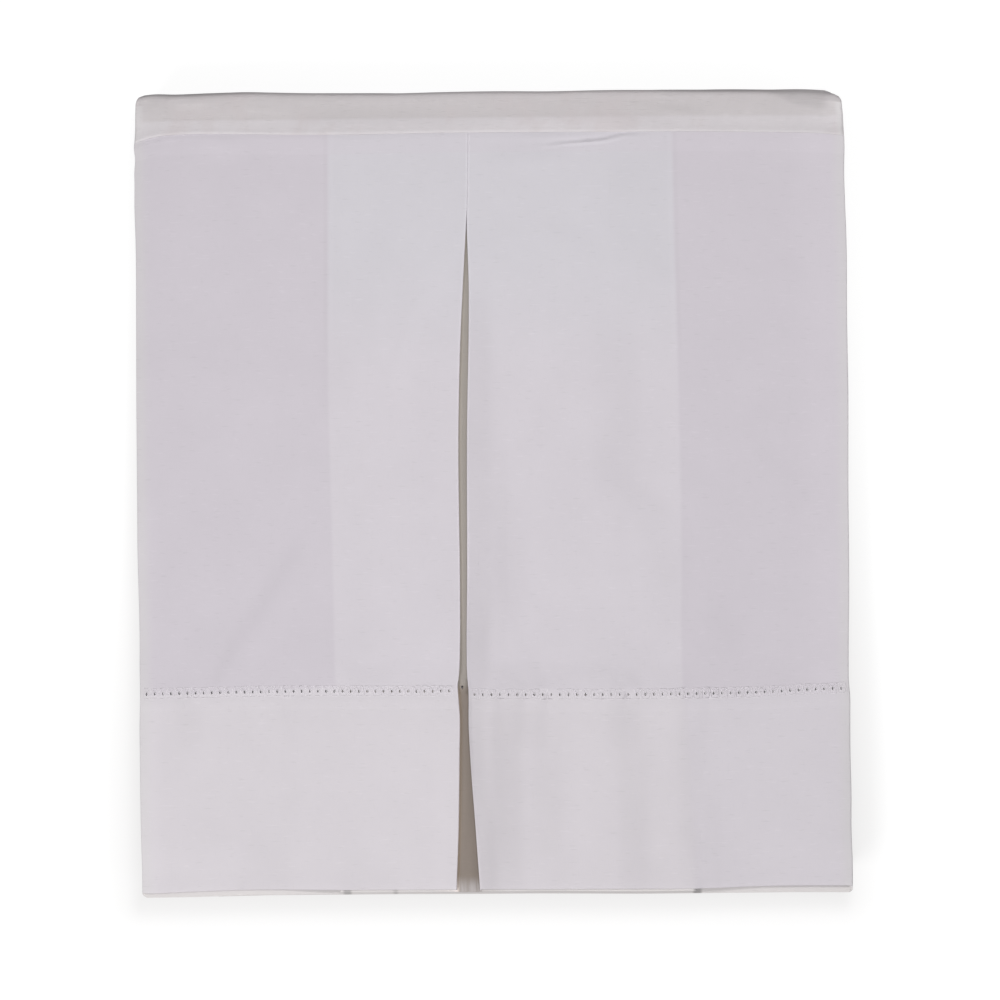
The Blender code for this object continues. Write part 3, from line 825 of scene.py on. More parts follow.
def drop_marks(x, y, ply, on_top, normal_height):
    """What the finish of the face cloth is told at each point; its lengths are in metres."""
    past_inner, before_inner = inward(INNER_FOLDS, x, y)
    past_pleat, before_pleat = inward(PLEAT_EDGES, x, y)
    top_ply = ply > DROP_PLIES - 1.5
    # through the hem, the left inner fold doesn't show
    backed = np.minimum(past_inner + 3 * FAR * soft_step(0.0, 6.0, HEM_TOP - y), before_inner)
    from_pleat = np.minimum(np.abs(past_pleat), np.abs(before_pleat))
    under = soft_step(DROP_PLIES - 1.25, DROP_PLIES - 1.6, ply) * (ply > 1.4)
    under = under * (np.minimum(past_inner, before_inner) > -3.0)
    # The tone is painted light and shade; over_pleat, under_hem, tucked_in, shows_in_pleat, past_left_edge,
    # from_pleat_edge and from_side also steer where light and shade are painted
    return {
        "over_pleat": np.where(top_ply, backed, -FAR) * MM,
        "tone": face_painted_light(x, y) * on_top,
        "under_hem": (1.0 - soft_step(HEM_EDGE + 1.0, HEM_EDGE + 8.0, y)) * (1 - on_top),
        "across": x * MM,
        "pressed": 1.0 - np.abs(normal_height),
        "tucked_in": under * (1 - soft_step(PLEAT_OPENS - 8.0, PLEAT_OPENS + 2.0, y)),
        "shows_in_pleat": soft_step(-2.0, 0.0, np.minimum(past_pleat, before_pleat)),
        "past_left_edge": past_pleat * MM,
        "from_pleat_edge": np.where(top_ply, from_pleat, FAR) * MM,
        "from_side": np.minimum(*inward(SIDE_FOLDS, x, y)) * MM,
    }


def cut_hemstitching(sheet, columns, block_row, is_underlay):
    """The holes, no two quite alike; returns the centres of those in the drop's face."""
    centres = []
    for number, column in enumerate(columns):
        wide = HOLE_HALF_WIDTH * (1.0 + 0.16 * math.sin(2.4 * number) + 0.12 * math.sin(5.3 * number))
        high = HOLE_HALF_HEIGHT * (1.0 + 0.10 * math.sin(1.7 * number + 1.0) + 0.1 * math.sin(4.1 * number))
        sheet.cut_hole(block_row, column, wide, high)
        if not is_underlay[block_row, column]:
            centres.append(sheet.hole_centre(block_row, column))
    return centres


def make_drop(material):
    """The foot drop, and the centres of the holes in its face."""
    rows = drop_rows()
    section = drop_section(column_of(rows, "y"), column_of(rows, "cloth"))
    x, height, normal_x, normal_height = section.grid(len(rows))
    y, cloth = row_arrays(rows, x.shape[1], ("y", "cloth"))
    strip = along(x, height)
    heights = drop_heights(y)
    ply = (height - heights[0]) / (heights[1] - heights[0])
    on_top = soft_step(DROP_PLIES - 2.0, DROP_PLIES - 1.2, ply)
    is_underlay = np.abs(ply - 2) < 0.1
    bulge = soft_step(-0.4, 1.8, np.minimum(*inward(PLEAT_EDGES, x, y)))
    height = height - seam_roll(SEAM - y, x) * on_top
    height = height + UNDERLAY_LIFT * is_underlay * bulge
    middle = np.stack([x, strayed(x, y, ply, on_top, strip), height], axis=-1)
    normal = np.stack([normal_x, 0 * x, normal_height], axis=-1)
    fine_rows = {number for number, row in enumerate(rows) if row.fine}
    place = np.stack([strip, y], axis=-1)
    sheet = Sheet(middle, normal, cloth, place, section.coarse_columns(), fine_rows, settled)
    block_row = next(number for number, row in enumerate(rows) if row.y > BAND_MIDDLE - HOLE_BLOCK - 0.01)
    centres = cut_hemstitching(sheet, section.hole_columns, block_row, is_underlay)
    sheet.marks = drop_marks(x, y, ply, on_top, normal_height)
    return sheet.build("foot_drop", material), centres


DeckRow = namedtuple("DeckRow", "y height lean left right closing")


def turn_centre(turn, end):
    """Where along Y a turn begins and ends; its outside reaches further."""
    return turn.reach - end * (turn.radius + LAYER_THICKNESS / 2)


def band_rows():
    """The band above the seam: rows close together over its rolled edge, and then even ones."""
    first = turn_centre(DECK_TURNS[0], SEAM_SIDE)
    rows = []
    for y in (*(SEAM + place for place in ROLL_PLACES), *spaced(SEAM + 4.4, first - 0.8, 1.0)):
        left, right = (float(fold_at(SIDE_FOLDS, side, y)) for side in (LEFT, RIGHT))
        rows.append(DeckRow(y, BAND_HEIGHT, 0.0, left, right, float(soft_step(SEAM, first, y))))
    return rows


def turn_rows(turn, end, above):
    """Half a turn down from the row above it, with its two corners drawn in."""
    steps = BAND_TURN_STEPS if turn is DECK_TURNS[0] else LAYER_TURN_STEPS
    rows = []
    for step in range(steps + 1):
        share = step / steps
        angle = math.pi * share
        inset = 1 - abs(math.cos(angle))
        rows.append(DeckRow(
            turn_centre(turn, end) + end * turn.radius * math.sin(angle),
            above.height - turn.radius + turn.radius * math.cos(angle),
            angle if end == SEAM_SIDE else math.pi - angle,
            above.left + share * (turn.shift - LAYER_HALF_WIDTH - above.left) + turn.corner_left * inset,
            above.right + share * (turn.shift + LAYER_HALF_WIDTH - above.right) - turn.corner_right * inset,
            1.0,
        ))
    return rows


def layer_rows(turn, next_turn, end, height):
    """A flat layer after a turn, up to the next one or to the deck's own end."""
    stop = turn_centre(next_turn, -end) if next_turn else DECK_END
    lean = math.pi if end == SEAM_SIDE else 0.0
    places = spaced(turn_centre(turn, end), stop, LAYER_ROW_PITCH)[1:]
    if next_turn:
        places = places[:-1]
    left = turn.shift - LAYER_HALF_WIDTH
    right = turn.shift + LAYER_HALF_WIDTH
    return [DeckRow(y, height, lean, left, right, 1.0) for y in places]


def deck_path():
    """The deck's rows: the band above the seam, then a turn and a layer by turns, down to the surface."""
    rows = band_rows()
    end = SEAM_SIDE
    for turn, next_turn in zip(DECK_TURNS, (*DECK_TURNS[1:], None)):
        above = rows[-1]
        rows += turn_rows(turn, end, above)
        rows += layer_rows(turn, next_turn, end, above.height - 2 * turn.radius)
        end = -end
    return rows


def deck_section(rows):
    """The deck across its width: left flap, front, right flap, from one free edge to the other."""
    closing = column_of(rows, "closing")
    at_seam = drop_heights(SEAM)
    right_flap, left_flap, front = (
        (1 - closing) * (height - BAND_HEIGHT) + closing * closed
        for height, closed in zip((at_seam[0], at_seam[1], at_seam[-1]), CLOSED_PLIES)
    )
    section = Section(FLAP_END + 0 * closing, left_flap, PLY_ROOM)
    section.run_and_turn(column_of(rows, "left"), LEFT, front, steps=16)
    section.run_and_turn(column_of(rows, "right"), RIGHT, right_flap, steps=60, parts=5)
    section.run(-FLAP_END + 0 * closing, steps=16)
    return section


def squared_turn(y, z):
    """The turn over the top, pushed out around its two shoulders so that the top stays flat longer."""
    out = np.maximum(y - turn_centre(DECK_TURNS[0], SEAM_SIDE), 0.0)
    up = z - (BAND_HEIGHT - TOP_TURN)
    reach = np.hypot(out, up) + 1e-6
    corner = square_reach(out / reach, up / reach)
    share = soft_step(0.0, 0.6, out) * (z > TOP_FLAT_LAYER - LAYER_THICKNESS / 2 - 0.2)
    corner = 1.0 + (corner - 1.0) * share
    return y + out * (corner - 1.0), z + up * (corner - 1.0)


def corner_bend(x, y, z):
    """How far the band's right corner is bent down."""
    beyond = np.maximum(y - read(BENT_CORNER, "x", "y", x), 0.0)
    beyond = np.sqrt(beyond ** 2 + CORNER_SOFTNESS) - math.sqrt(CORNER_SOFTNESS)
    fading = (x > BENT_CORNER[0].x) * (1.0 - 0.8 * soft_step(*CORNER_END, x))
    upper = np.clip((z - TOP_FLAT_LAYER) / (BAND_HEIGHT - TOP_FLAT_LAYER), 0.0, 1.0)
    return CORNER_SLOPE * beyond * fading * upper


def deck_settled(x, y, z):
    """The deck settles with the drop, and its folded sides and ends stray a little more."""
    side = x / HALF_WIDTH
    stray = 0.5 * np.sin(y / 47.0 + z * 0.42) + 0.3 * np.sin(y / 19.0 - z * 0.3 + 1.0)
    below = 1.0 - soft_step(BAND_HEIGHT - 4.0, BAND_HEIGHT - 1.0, z)
    x = x + side ** 3 * stray * below
    end = y / SEAM
    wander = 0.5 * np.sin(x / 37.0 + z * 0.5) + 0.25 * np.sin(x / 13.0 + z * 0.9)
    y = y + end ** 3 * wander * below * 0.7
    x, y, z = settled(x, y, z)
    y, z = squared_turn(y, z)
    z = z - corner_bend(x, y, z)
    over = soft_step(188.0, 198.0, y)
    y = y + read(TOP_EDGE, "x", "out", x) * over * soft_step(14.0, 20.0, z)
    return x, y, z


def make_deck(material):
    """The deck: its section carried along its path, leaning with it."""
    rows = deck_path()
    section = deck_section(rows)
    x, height, normal_x, normal_height = section.grid(len(rows))
    y, row_z, lean = row_arrays(rows, x.shape[1], ("y", "height", "lean"))
    steps = np.hypot(np.diff(y[:, 0]), np.diff(row_z[:, 0]))
    length = np.concatenate([[0.0], np.cumsum(steps)])
    band_end = next(number for number, row in enumerate(rows) if row.closing >= 1.0)
    in_band = (np.arange(len(rows)) < band_end)[:, None]
    on_top = (normal_height > 0.5) * in_band
    distance = y - SEAM
    flat_y = y + height * np.sin(lean)
    at_seam = 1 - soft_step(SEAM, SEAM + 9.0, flat_y)
    flat_y = flat_y + (seam_at(x) + SEAM_GAP / 2 - SEAM) * at_seam * in_band
    z = row_z + height * np.cos(lean)
    z = z - seam_roll(distance, x) * on_top
    over_allowance = 1 - soft_step(BAND_ALLOWANCE - 0.9, BAND_ALLOWANCE + 0.9, distance)
    z = z + ALLOWANCE_LIFT * on_top * over_allowance
    middle = np.stack([x, flat_y, z], axis=-1)
    normal = np.stack([normal_x, normal_height * np.sin(lean), normal_height * np.cos(lean)], axis=-1)
    cloth = np.full(x.shape, MUSLIN)
    place = np.stack([along(x, height), np.broadcast_to(length[:, None], x.shape)], axis=-1)
    fine_rows = {number for number, row in enumerate(rows) if row.height > TOP_FLAT_LAYER + 0.5}
    sheet = Sheet(middle, normal, cloth, place, section.coarse_columns(), fine_rows, deck_settled)
    # from_side steers painted light on the band's sides, and the tone is painted light and shade
    from_side = np.maximum(np.minimum(*inward(SIDE_FOLDS, x, flat_y)), 0.0)
    sheet.marks["from_side"] = np.where(on_top, from_side, FAR) * MM
    sheet.marks["tone"] = painted_patches(BAND_PAINTED_LIGHT, x, flat_y) * on_top
    return sheet.build("deck_cloth", material)


# Finishes

# Their colours, as amounts of red, green and blue light; where plies back the cloth it is lighter. Some are
# painted light and shade, as said above each of them
FACE = (0.567, 0.530, 0.574)
OVER_PLEAT = (0.582, 0.562, 0.599)
LOW_OVER_PLEAT = (0.600, 0.566, 0.605)
OVER_ALLOWANCE = (0.567, 0.536, 0.577)
HEM = (0.595, 0.562, 0.600)
HEM_OVER_PLEAT = (0.606, 0.573, 0.604)
# Painted light on the rounded side folds, a little greyer
SIDE_PAINTED_LIGHT = (0.582, 0.561, 0.573)
# Painted light on the lower plies' hem edges, lifting the shade between the plies
UNDER_HEM_PAINTED_LIGHT = (0.650, 0.622, 0.612)
# Painted shade on the underlay inside the open pleat, and painted light where it opens at the hem
PLEAT_PAINTED_SHADE = (0.300, 0.270, 0.230)
PLEAT_HEM_PAINTED_SHADE = (0.177, 0.138, 0.100)
PLEAT_MOUTH_PAINTED_LIGHT = (0.40, 0.365, 0.36)
MUSLIN_BAND = (0.541, 0.509, 0.519)
MUSLIN_ALLOWANCE = (0.596, 0.564, 0.584)
MUSLIN_STAIN = (0.535, 0.485, 0.495)
# Painted light on the band's rounded sides
MUSLIN_SIDE_PAINTED_LIGHT = (0.598, 0.576, 0.585)
THREAD = (0.70, 0.67, 0.70)


def feed(tree, socket, value):
    """An input takes another node's output, or else a value."""
    if isinstance(value, bpy.types.NodeSocket):
        tree.links.new(value, socket)
    else:
        socket.default_value = value


def put(tree, kind, inputs=(), **settings):
    """A new node; each input is a value or another node's output."""
    node = tree.nodes.new(kind)
    for name, value in settings.items():
        setattr(node, name, value)
    for key, value in dict(inputs).items():
        feed(tree, node.inputs[key], value)
    return node


def maths(tree, operation, *values, **settings):
    return put(tree, "ShaderNodeMath", enumerate(values), operation=operation, **settings).outputs[0]


def times(tree, first, second):
    return maths(tree, "MULTIPLY", first, second)


def summed(tree, start, *terms):
    """start plus each term's value times its amount."""
    total = start
    for value, amount in terms:
        total = maths(tree, "MULTIPLY_ADD", value, amount, total)
    return total


def point(tree, x, y, z):
    return put(tree, "ShaderNodeCombineXYZ", {0: x, 1: y, 2: z}).outputs[0]


def mapped(tree, value, low, high, to_low=0.0, to_high=1.0):
    """A value mapped from one range to another and held inside it."""
    inputs = {"Value": value, "From Min": low, "From Max": high, "To Min": to_low, "To Max": to_high}
    return put(tree, "ShaderNodeMapRange", inputs, interpolation_type="SMOOTHSTEP").outputs["Result"]


def eased(tree, length, low, high, *to):
    """The same for a length in metres and limits in millimetres."""
    return mapped(tree, length, low * MM, high * MM, *to)


def between(tree, length, start, full, fading, end):
    """1 from full to fading, 0 before start and past end, all in millimetres."""
    return times(tree, eased(tree, length, start, full), eased(tree, length, end, fading))


def mixed(tree, factor, first, second):
    """One colour over another; a colour is red, green and blue, or a node's output."""
    first, second = ((*value, 1.0) if isinstance(value, tuple) else value for value in (first, second))
    return put(tree, "ShaderNodeMix", {0: factor, 6: first, 7: second}, data_type="RGBA").outputs[2]


def toned(tree, base, tone):
    """A colour made lighter or darker by a tone around one."""
    return put(tree, "ShaderNodeVectorMath", {0: base, "Scale": tone}, operation="SCALE").outputs[0]


def mark(tree, name):
    """What each point of the mesh carries under this name."""
    return put(tree, "ShaderNodeAttribute", attribute_name=name).outputs["Fac"]


def new_group(name, inputs, outputs, kind="ShaderNodeTree"):
    """A node group with named sockets; returns it with its own input and output nodes' sockets."""
    group = bpy.data.node_groups.new(name, kind)
    for label, socket_type, default in inputs:
        socket = group.interface.new_socket(label, in_out="INPUT", socket_type="NodeSocket" + socket_type)
        if default is not None:
            socket.default_value = default
    for label, socket_type in outputs:
        group.interface.new_socket(label, in_out="OUTPUT", socket_type="NodeSocket" + socket_type)
    given = group.nodes.new("NodeGroupInput").outputs
    result = group.nodes.new("NodeGroupOutput").inputs
    return group, given, result


def use_group(tree, group, inputs):
    return put(tree, "ShaderNodeGroup", inputs, node_tree=group).outputs


def plain_weave_group():
    """One thread over, one under: the height of the threads, and the gaps between them."""
    group, given, result = new_group(
        "plain_weave",
        [("Cloth Place", "Vector", None), ("Thread Pitch", "Float", 0.0003), ("Unevenness", "Float", 0.3)],
        [("Height", "Float"), ("Gaps", "Float")],
    )
    drift = put(group, "ShaderNodeTexNoise", {"Vector": given["Cloth Place"], "Scale": 260.0, "Detail": 2.0})
    halves = {0: drift.outputs["Color"], 1: (0.5, 0.5, 0.5)}
    centred = put(group, "ShaderNodeVectorMath", halves, operation="SUBTRACT").outputs[0]
    moved = toned(group, centred, times(group, given["Thread Pitch"], given["Unevenness"]))
    place = put(group, "ShaderNodeVectorMath", {0: given["Cloth Place"], 1: moved}, operation="ADD")
    split = put(group, "ShaderNodeSeparateXYZ", {0: place.outputs[0]}).outputs
    waves = []
    for axis in ("X", "Y"):
        turns = maths(group, "DIVIDE", split[axis], given["Thread Pitch"])
        waves.append(maths(group, "SINE", times(group, turns, math.pi)))
    over = times(group, *waves)
    crests = [maths(group, "ABSOLUTE", wave) for wave in waves]
    warp = times(group, crests[0], maths(group, "MULTIPLY_ADD", over, 0.5, 0.5))
    weft = times(group, crests[1], maths(group, "MULTIPLY_ADD", over, -0.5, 0.5))
    feed(group, result["Height"], maths(group, "MAXIMUM", warp, weft))
    feed(group, result["Gaps"], times(group, *(maths(group, "SUBTRACT", 1.0, crest) for crest in crests)))
    return group


def slubs_group():
    """Thick and thin places of single yarns, as short dashes along the weft and along the warp."""
    group, given, result = new_group(
        "slubs",
        [("Cloth Place", "Vector", None), ("Slub Length", "Float", 0.012), ("Yarn Width", "Float", 0.0006),
         ("Rarity", "Float", 0.6)],
        [("Weft", "Float"), ("Light Weft", "Float"), ("Warp", "Float")],
    )
    split = put(group, "ShaderNodeSeparateXYZ", {0: given["Cloth Place"]}).outputs
    common = maths(group, "ADD", given["Rarity"], 0.14)
    for label, lengthways, across, start in (
        ("Weft", "X", "Y", 0.0), ("Light Weft", "X", "Y", 37.3), ("Warp", "Y", "X", 71.9),
    ):
        run = maths(group, "DIVIDE", split[lengthways], given["Slub Length"])
        yarn = maths(group, "DIVIDE", split[across], given["Yarn Width"])
        place = point(group, run, yarn, start)
        noise = put(group, "ShaderNodeTexNoise", {"Vector": place, "Scale": 1.0, "Detail": 0.5})
        feed(group, result[label], mapped(group, noise.outputs[0], given["Rarity"], common))
    return group


def mottle_group():
    """Soft patches of a slightly different tone, around zero."""
    group, given, result = new_group(
        "mottle", [("Cloth Place", "Vector", None), ("Patch Size", "Float", 0.02)], [("Tone", "Float")],
    )
    scale = maths(group, "DIVIDE", 1.0, given["Patch Size"])
    noise = put(group, "ShaderNodeTexNoise",
                {"Vector": given["Cloth Place"], "Scale": scale, "Detail": 4.0, "Roughness": 0.62})
    feed(group, result["Tone"], maths(group, "SUBTRACT", noise.outputs[0], 0.5))
    return group


def new_material(name, sheen):
    """A matt material; returns it with its nodes and its shader."""
    material = bpy.data.materials.new(name)
    material.use_nodes = True
    tree = material.node_tree
    shader = tree.nodes["Principled BSDF"]
    shader.inputs["Specular IOR Level"].default_value = 0.25
    shader.inputs["Sheen Weight"].default_value = sheen
    shader.inputs["Sheen Roughness"].default_value = 0.6
    return material, tree, shader


def give_surface(tree, shader, base, roughness, relief, strength, depth):
    """Colour, roughness and fine relief; depth, in metres, is that of a relief of one."""
    feed(tree, shader.inputs["Base Color"], base)
    feed(tree, shader.inputs["Roughness"], roughness)
    bump = put(tree, "ShaderNodeBump", {"Strength": strength, "Distance": depth, "Height": relief})
    feed(tree, shader.inputs["Normal"], bump.outputs[0])


def cloth_nodes(tree, groups, pitch, slub_length, yarn_width, rarity):
    """What any plain cloth has: its weave's and slubs' height, its gaps and its tone around zero."""
    place = put(tree, "ShaderNodeUVMap", uv_map="cloth_place").outputs[0]
    weave = use_group(tree, groups["plain_weave"], {"Cloth Place": place, "Thread Pitch": pitch})
    slubs = use_group(tree, groups["slubs"], {
        "Cloth Place": place, "Slub Length": slub_length, "Yarn Width": yarn_width, "Rarity": rarity})
    mottle = use_group(tree, groups["mottle"], {"Cloth Place": place, "Patch Size": 0.03})
    return place, weave, slubs, mottle


def painted_hem_shade(tree, across):
    """Painted shade under the hem's edge, where the plies below part a little."""
    spots = []
    for spot in HEM_PAINTED_SHADE:
        off_centre = maths(tree, "ABSOLUTE", maths(tree, "SUBTRACT", across, spot.x * MM))
        spots.append((eased(tree, off_centre, spot.half_width + 1.0, spot.half_width - 1.0), spot.tone))
    return summed(tree, 0.0, *spots)


def face_colour(tree, height, over_pleat, in_hem, allowance, under_hem):
    """Lighter in the hem and over the pleat, where more plies back the cloth; painted light on the side
    folds and on the lower plies' hem edges.
    """
    over = mixed(tree, eased(tree, height, 130.0, 45.0), OVER_PLEAT, LOW_OVER_PLEAT)
    over = mixed(tree, times(tree, allowance, 0.65), over, OVER_ALLOWANCE)
    single = mixed(tree, eased(tree, over_pleat, -1.2, 1.2), FACE, over)
    hem = mixed(tree, eased(tree, over_pleat, -3.5, 3.5), HEM, HEM_OVER_PLEAT)
    base = mixed(tree, in_hem, single, hem)
    # Painted light on the rounded side folds
    painted_side_light = eased(tree, mark(tree, "from_side"), 8.0, 1.5)
    base = mixed(tree, times(tree, painted_side_light, 0.7), base, SIDE_PAINTED_LIGHT)
    # Painted light on the lower plies' hem edges
    return mixed(tree, times(tree, under_hem, 0.85), base, UNDER_HEM_PAINTED_LIGHT)


def painted_fold_line(tree, height, over_pleat):
    """Painted shade and light along the inner folds: a thin dark line with a lighter one beside it."""
    outside_fold = between(tree, over_pleat, -3.0, -1.6, -0.8, 0.0)
    inside_fold = between(tree, over_pleat, 0.0, 1.0, 2.0, 3.4)
    line = summed(tree, 0.0, (outside_fold, -0.022), (inside_fold, 0.010))
    return times(tree, line, eased(tree, height, 55.0, 95.0))


def painted_under_seam_shade(tree, height, across):
    """A thin painted shade just under the seam, where the drop is a little too full."""
    under_seam = between(tree, height, SEAM - 3.4, SEAM - 2.2, SEAM - 1.1, SEAM - 0.4)
    full_right = between(tree, across, 12.0, 22.0, 70.0, 82.0)
    full_left = eased(tree, across, -118.0, -135.0)
    return times(tree, under_seam, maths(tree, "MAXIMUM", full_right, full_left))


def painted_pleat_shade(tree, place, height, in_hem):
    """The underlay seen through the open pleat in painted shade, with streaks of painted light where it
    opens at the hem and painted light along its left edge.
    """
    inside = mixed(tree, in_hem, PLEAT_PAINTED_SHADE, PLEAT_HEM_PAINTED_SHADE)
    stretched = put(tree, "ShaderNodeMapping", {"Vector": place, "Scale": (700.0, 45.0, 1.0)}).outputs[0]
    streaks = put(tree, "ShaderNodeTexNoise", {"Vector": stretched, "Scale": 1.0, "Detail": 1.0}).outputs[0]
    open_end = eased(tree, height, HEM_EDGE + 9.0, HEM_EDGE + 1.5)
    open_end = times(tree, open_end, mapped(tree, streaks, 0.3, 0.65, 0.45, 1.0))
    inside = mixed(tree, open_end, inside, PLEAT_MOUTH_PAINTED_LIGHT)
    left_edge_painted_light = eased(tree, mark(tree, "past_left_edge"), 1.8, 0.0)
    lit_below = times(tree, left_edge_painted_light, mapped(tree, in_hem, 0.0, 1.0, 0.62, 1.5))
    return toned(tree, inside, maths(tree, "ADD", lit_below, 1.0))


def face_cloth_material(groups):
    """The drop's fine cotton, a little sheer."""
    material, tree, shader = new_material("face_cloth", sheen=0.12)
    place, weave, slubs, mottle = cloth_nodes(
        tree, groups, pitch=0.00032, slub_length=0.0055, yarn_width=0.0009, rarity=0.655)
    height = put(tree, "ShaderNodeSeparateXYZ", {0: place}).outputs["Y"]
    over_pleat = mark(tree, "over_pleat")
    under_hem = mark(tree, "under_hem")
    across = mark(tree, "across")
    in_hem = eased(tree, height, HEM_TOP + 1.0, BAND_BOTTOM - 0.5)
    turning_top = BAND_BOTTOM - TURNING
    turning = times(tree, eased(tree, height, turning_top - 0.3, turning_top + 0.3), in_hem)
    allowance = eased(tree, height, SEAM - ALLOWANCE - 0.4, SEAM - ALLOWANCE + 0.6)
    base = face_colour(tree, height, over_pleat, in_hem, allowance, under_hem)
    # Painted highlight on the pleat's folded edges, a little weaker where it is sewn shut
    painted_edge_highlight = eased(tree, mark(tree, "from_pleat_edge"), 1.4, 0.4)
    # The tone holds painted light and shade besides the cloth's own mottle, slubs and weave: the tone mark,
    # the edge highlight, the hem's dark gaps, the fold line and the shade under the seam
    tone = summed(
        tree, 1.0,
        (mark(tree, "tone"), 1.0),
        (mottle["Tone"], 0.08),
        (slubs["Weft"], -0.05),
        (slubs["Light Weft"], 0.035),
        (slubs["Warp"], -0.015),
        (weave["Gaps"], -0.06),
        (turning, 0.01),
        (allowance, 0.02),
        (painted_edge_highlight, 0.08),
        (times(tree, painted_edge_highlight, eased(tree, height, 110.0, 140.0)), -0.02),
        (times(tree, painted_hem_shade(tree, across), under_hem), 1.0),
        (painted_fold_line(tree, height, over_pleat), 1.0),
        (painted_under_seam_shade(tree, height, across), -0.034),
    )
    # Painted shade where the underlay is tucked into the pleat and shows through its opening
    away_from_end = eased(tree, height, HEM_EDGE + 4.0, HEM_EDGE + 7.0)
    seen_inside = maths(tree, "MAXIMUM", mark(tree, "shows_in_pleat"), away_from_end)
    tucked = times(tree, mark(tree, "tucked_in"), seen_inside)
    base = mixed(tree, times(tree, tucked, 0.85), base, painted_pleat_shade(tree, place, height, in_hem))
    relief = summed(tree, 0.0, (weave["Height"], 0.6), (slubs["Weft"], 1.2), (slubs["Warp"], 0.5))
    roughness = summed(tree, 0.9, (mark(tree, "pressed"), -0.1), (mottle["Tone"], 0.1))
    give_surface(tree, shader, toned(tree, base, tone), roughness, relief, strength=0.4, depth=0.00005)
    return material


def muslin_material(groups):
    """The deck's plain cloth: warmer and greyer, with more slubs."""
    material, tree, shader = new_material("muslin", sheen=0.1)
    place, weave, slubs, mottle = cloth_nodes(
        tree, groups, pitch=0.00042, slub_length=0.006, yarn_width=0.0008, rarity=0.62)
    blotches = use_group(tree, groups["mottle"], {"Cloth Place": place, "Patch Size": 0.006})
    length = put(tree, "ShaderNodeSeparateXYZ", {0: place}).outputs["Y"]
    allowance = eased(tree, length, BAND_ALLOWANCE + 0.9, BAND_ALLOWANCE - 0.9)
    base = mixed(tree, allowance, MUSLIN_BAND, MUSLIN_ALLOWANCE)
    stain = mapped(tree, mottle["Tone"], -0.02, 0.14)
    base = mixed(tree, times(tree, stain, 0.45), base, MUSLIN_STAIN)
    # Painted light on the band's rounded sides
    painted_side_light = eased(tree, mark(tree, "from_side"), 4.8, 2.0)
    base = mixed(tree, times(tree, painted_side_light, 0.8), base, MUSLIN_SIDE_PAINTED_LIGHT)
    tone = summed(
        tree, 1.0,
        (mottle["Tone"], 0.06),
        (blotches["Tone"], 0.08),
        (slubs["Weft"], -0.035),
        (slubs["Light Weft"], 0.03),
        (slubs["Warp"], -0.008),
        (weave["Gaps"], -0.09),
        # Painted highlight on the rolled edge at the seam, and painted shade just above it
        (eased(tree, length, 1.2, 0.4), 0.06),
        (between(tree, length, 1.0, 1.6, 2.2, 3.4), -0.02),
        (mark(tree, "tone"), 1.0),
    )
    relief = summed(tree, 0.0, (weave["Height"], 0.8), (slubs["Weft"], 1.4), (slubs["Warp"], 0.4))
    roughness = summed(tree, 0.93, (mottle["Tone"], 0.1))
    give_surface(tree, shader, toned(tree, base, tone), roughness, relief, strength=0.5, depth=0.00006)
    return material


def thread_material():
    """Sewing cotton: white, with the twist of its strands."""
    material, tree, shader = new_material("sewing_thread", sheen=0.15)
    place = put(tree, "ShaderNodeTexCoord").outputs["Object"]
    twist = {"Vector": place, "Scale": 1800.0, "Distortion": 1.5, "Detail": 1.0}
    strands = put(tree, "ShaderNodeTexWave", twist, bands_direction="DIAGONAL").outputs["Fac"]
    base = toned(tree, THREAD, summed(tree, 0.95, (strands, 0.08)))
    give_surface(tree, shader, base, roughness=0.7, relief=strands, strength=0.4, depth=0.00005)
    return material


# Sewing, by geometry nodes

def thread_along(tree, curve, thickness):
    """A thread of a few flat sides along a curve."""
    profile = put(tree, "GeometryNodeCurvePrimitiveCircle",
                  {"Resolution": 5, "Radius": times(tree, thickness, 0.5)})
    inputs = {"Curve": curve, "Profile Curve": profile.outputs[0], "Fill Caps": True}
    return put(tree, "GeometryNodeCurveToMesh", inputs).outputs[0]


def arched(tree, start, middle, end, resolution=3):
    """An arch between two places (x, y) on the cloth, drawn towards a middle (x, y, z)."""
    inputs = {
        "Resolution": resolution, "Start": point(tree, *start, 0.0), "Middle": point(tree, *middle),
        "End": point(tree, *end, 0.0),
    }
    return put(tree, "GeometryNodeCurveQuadraticBezier", inputs).outputs[0]


def joined(tree, parts):
    join = put(tree, "GeometryNodeJoinGeometry")
    for part in parts:
        feed(tree, join.inputs[0], part)
    return join.outputs[0]


def by_chance(tree, given, low, high):
    """Three values between limits, others for each stitch."""
    inputs = {"Min": low, "Max": high, "Seed": given["Seed"]}
    return put(tree, "FunctionNodeRandomValue", inputs, data_type="FLOAT_VECTOR").outputs[0]


def repeated(tree, given, result, stitch):
    """The stitch on each point, turned and scaled a little by chance, made one mesh."""
    spread = put(tree, "GeometryNodeInstanceOnPoints", {
        "Points": given["Geometry"], "Instance": stitch,
        "Rotation": by_chance(tree, given, (0.0, 0.0, -0.09), (0.0, 0.0, 0.09)),
        "Scale": by_chance(tree, given, (0.92, 0.92, 0.9), (1.08, 1.08, 1.15)),
    })
    smooth = put(tree, "GeometryNodeSetShadeSmooth", {0: spread.outputs[0]})
    real = put(tree, "GeometryNodeRealizeInstances", {0: smooth.outputs[0]})
    done = put(tree, "GeometryNodeSetMaterial", {0: real.outputs[0], "Material": given["Material"]})
    feed(tree, result["Geometry"], done.outputs[0])


def sewing_group(name, *sizes):
    """A tree that turns places into stitches, with named sizes."""
    inputs = [("Geometry", "Geometry", None), ("Material", "Material", None), ("Seed", "Int", 1)]
    inputs += [(label, "Float", size) for label, size in (("Thread", 0.0003), *sizes)]
    return new_group(name, inputs, [("Geometry", "Geometry")], "GeometryNodeTree")


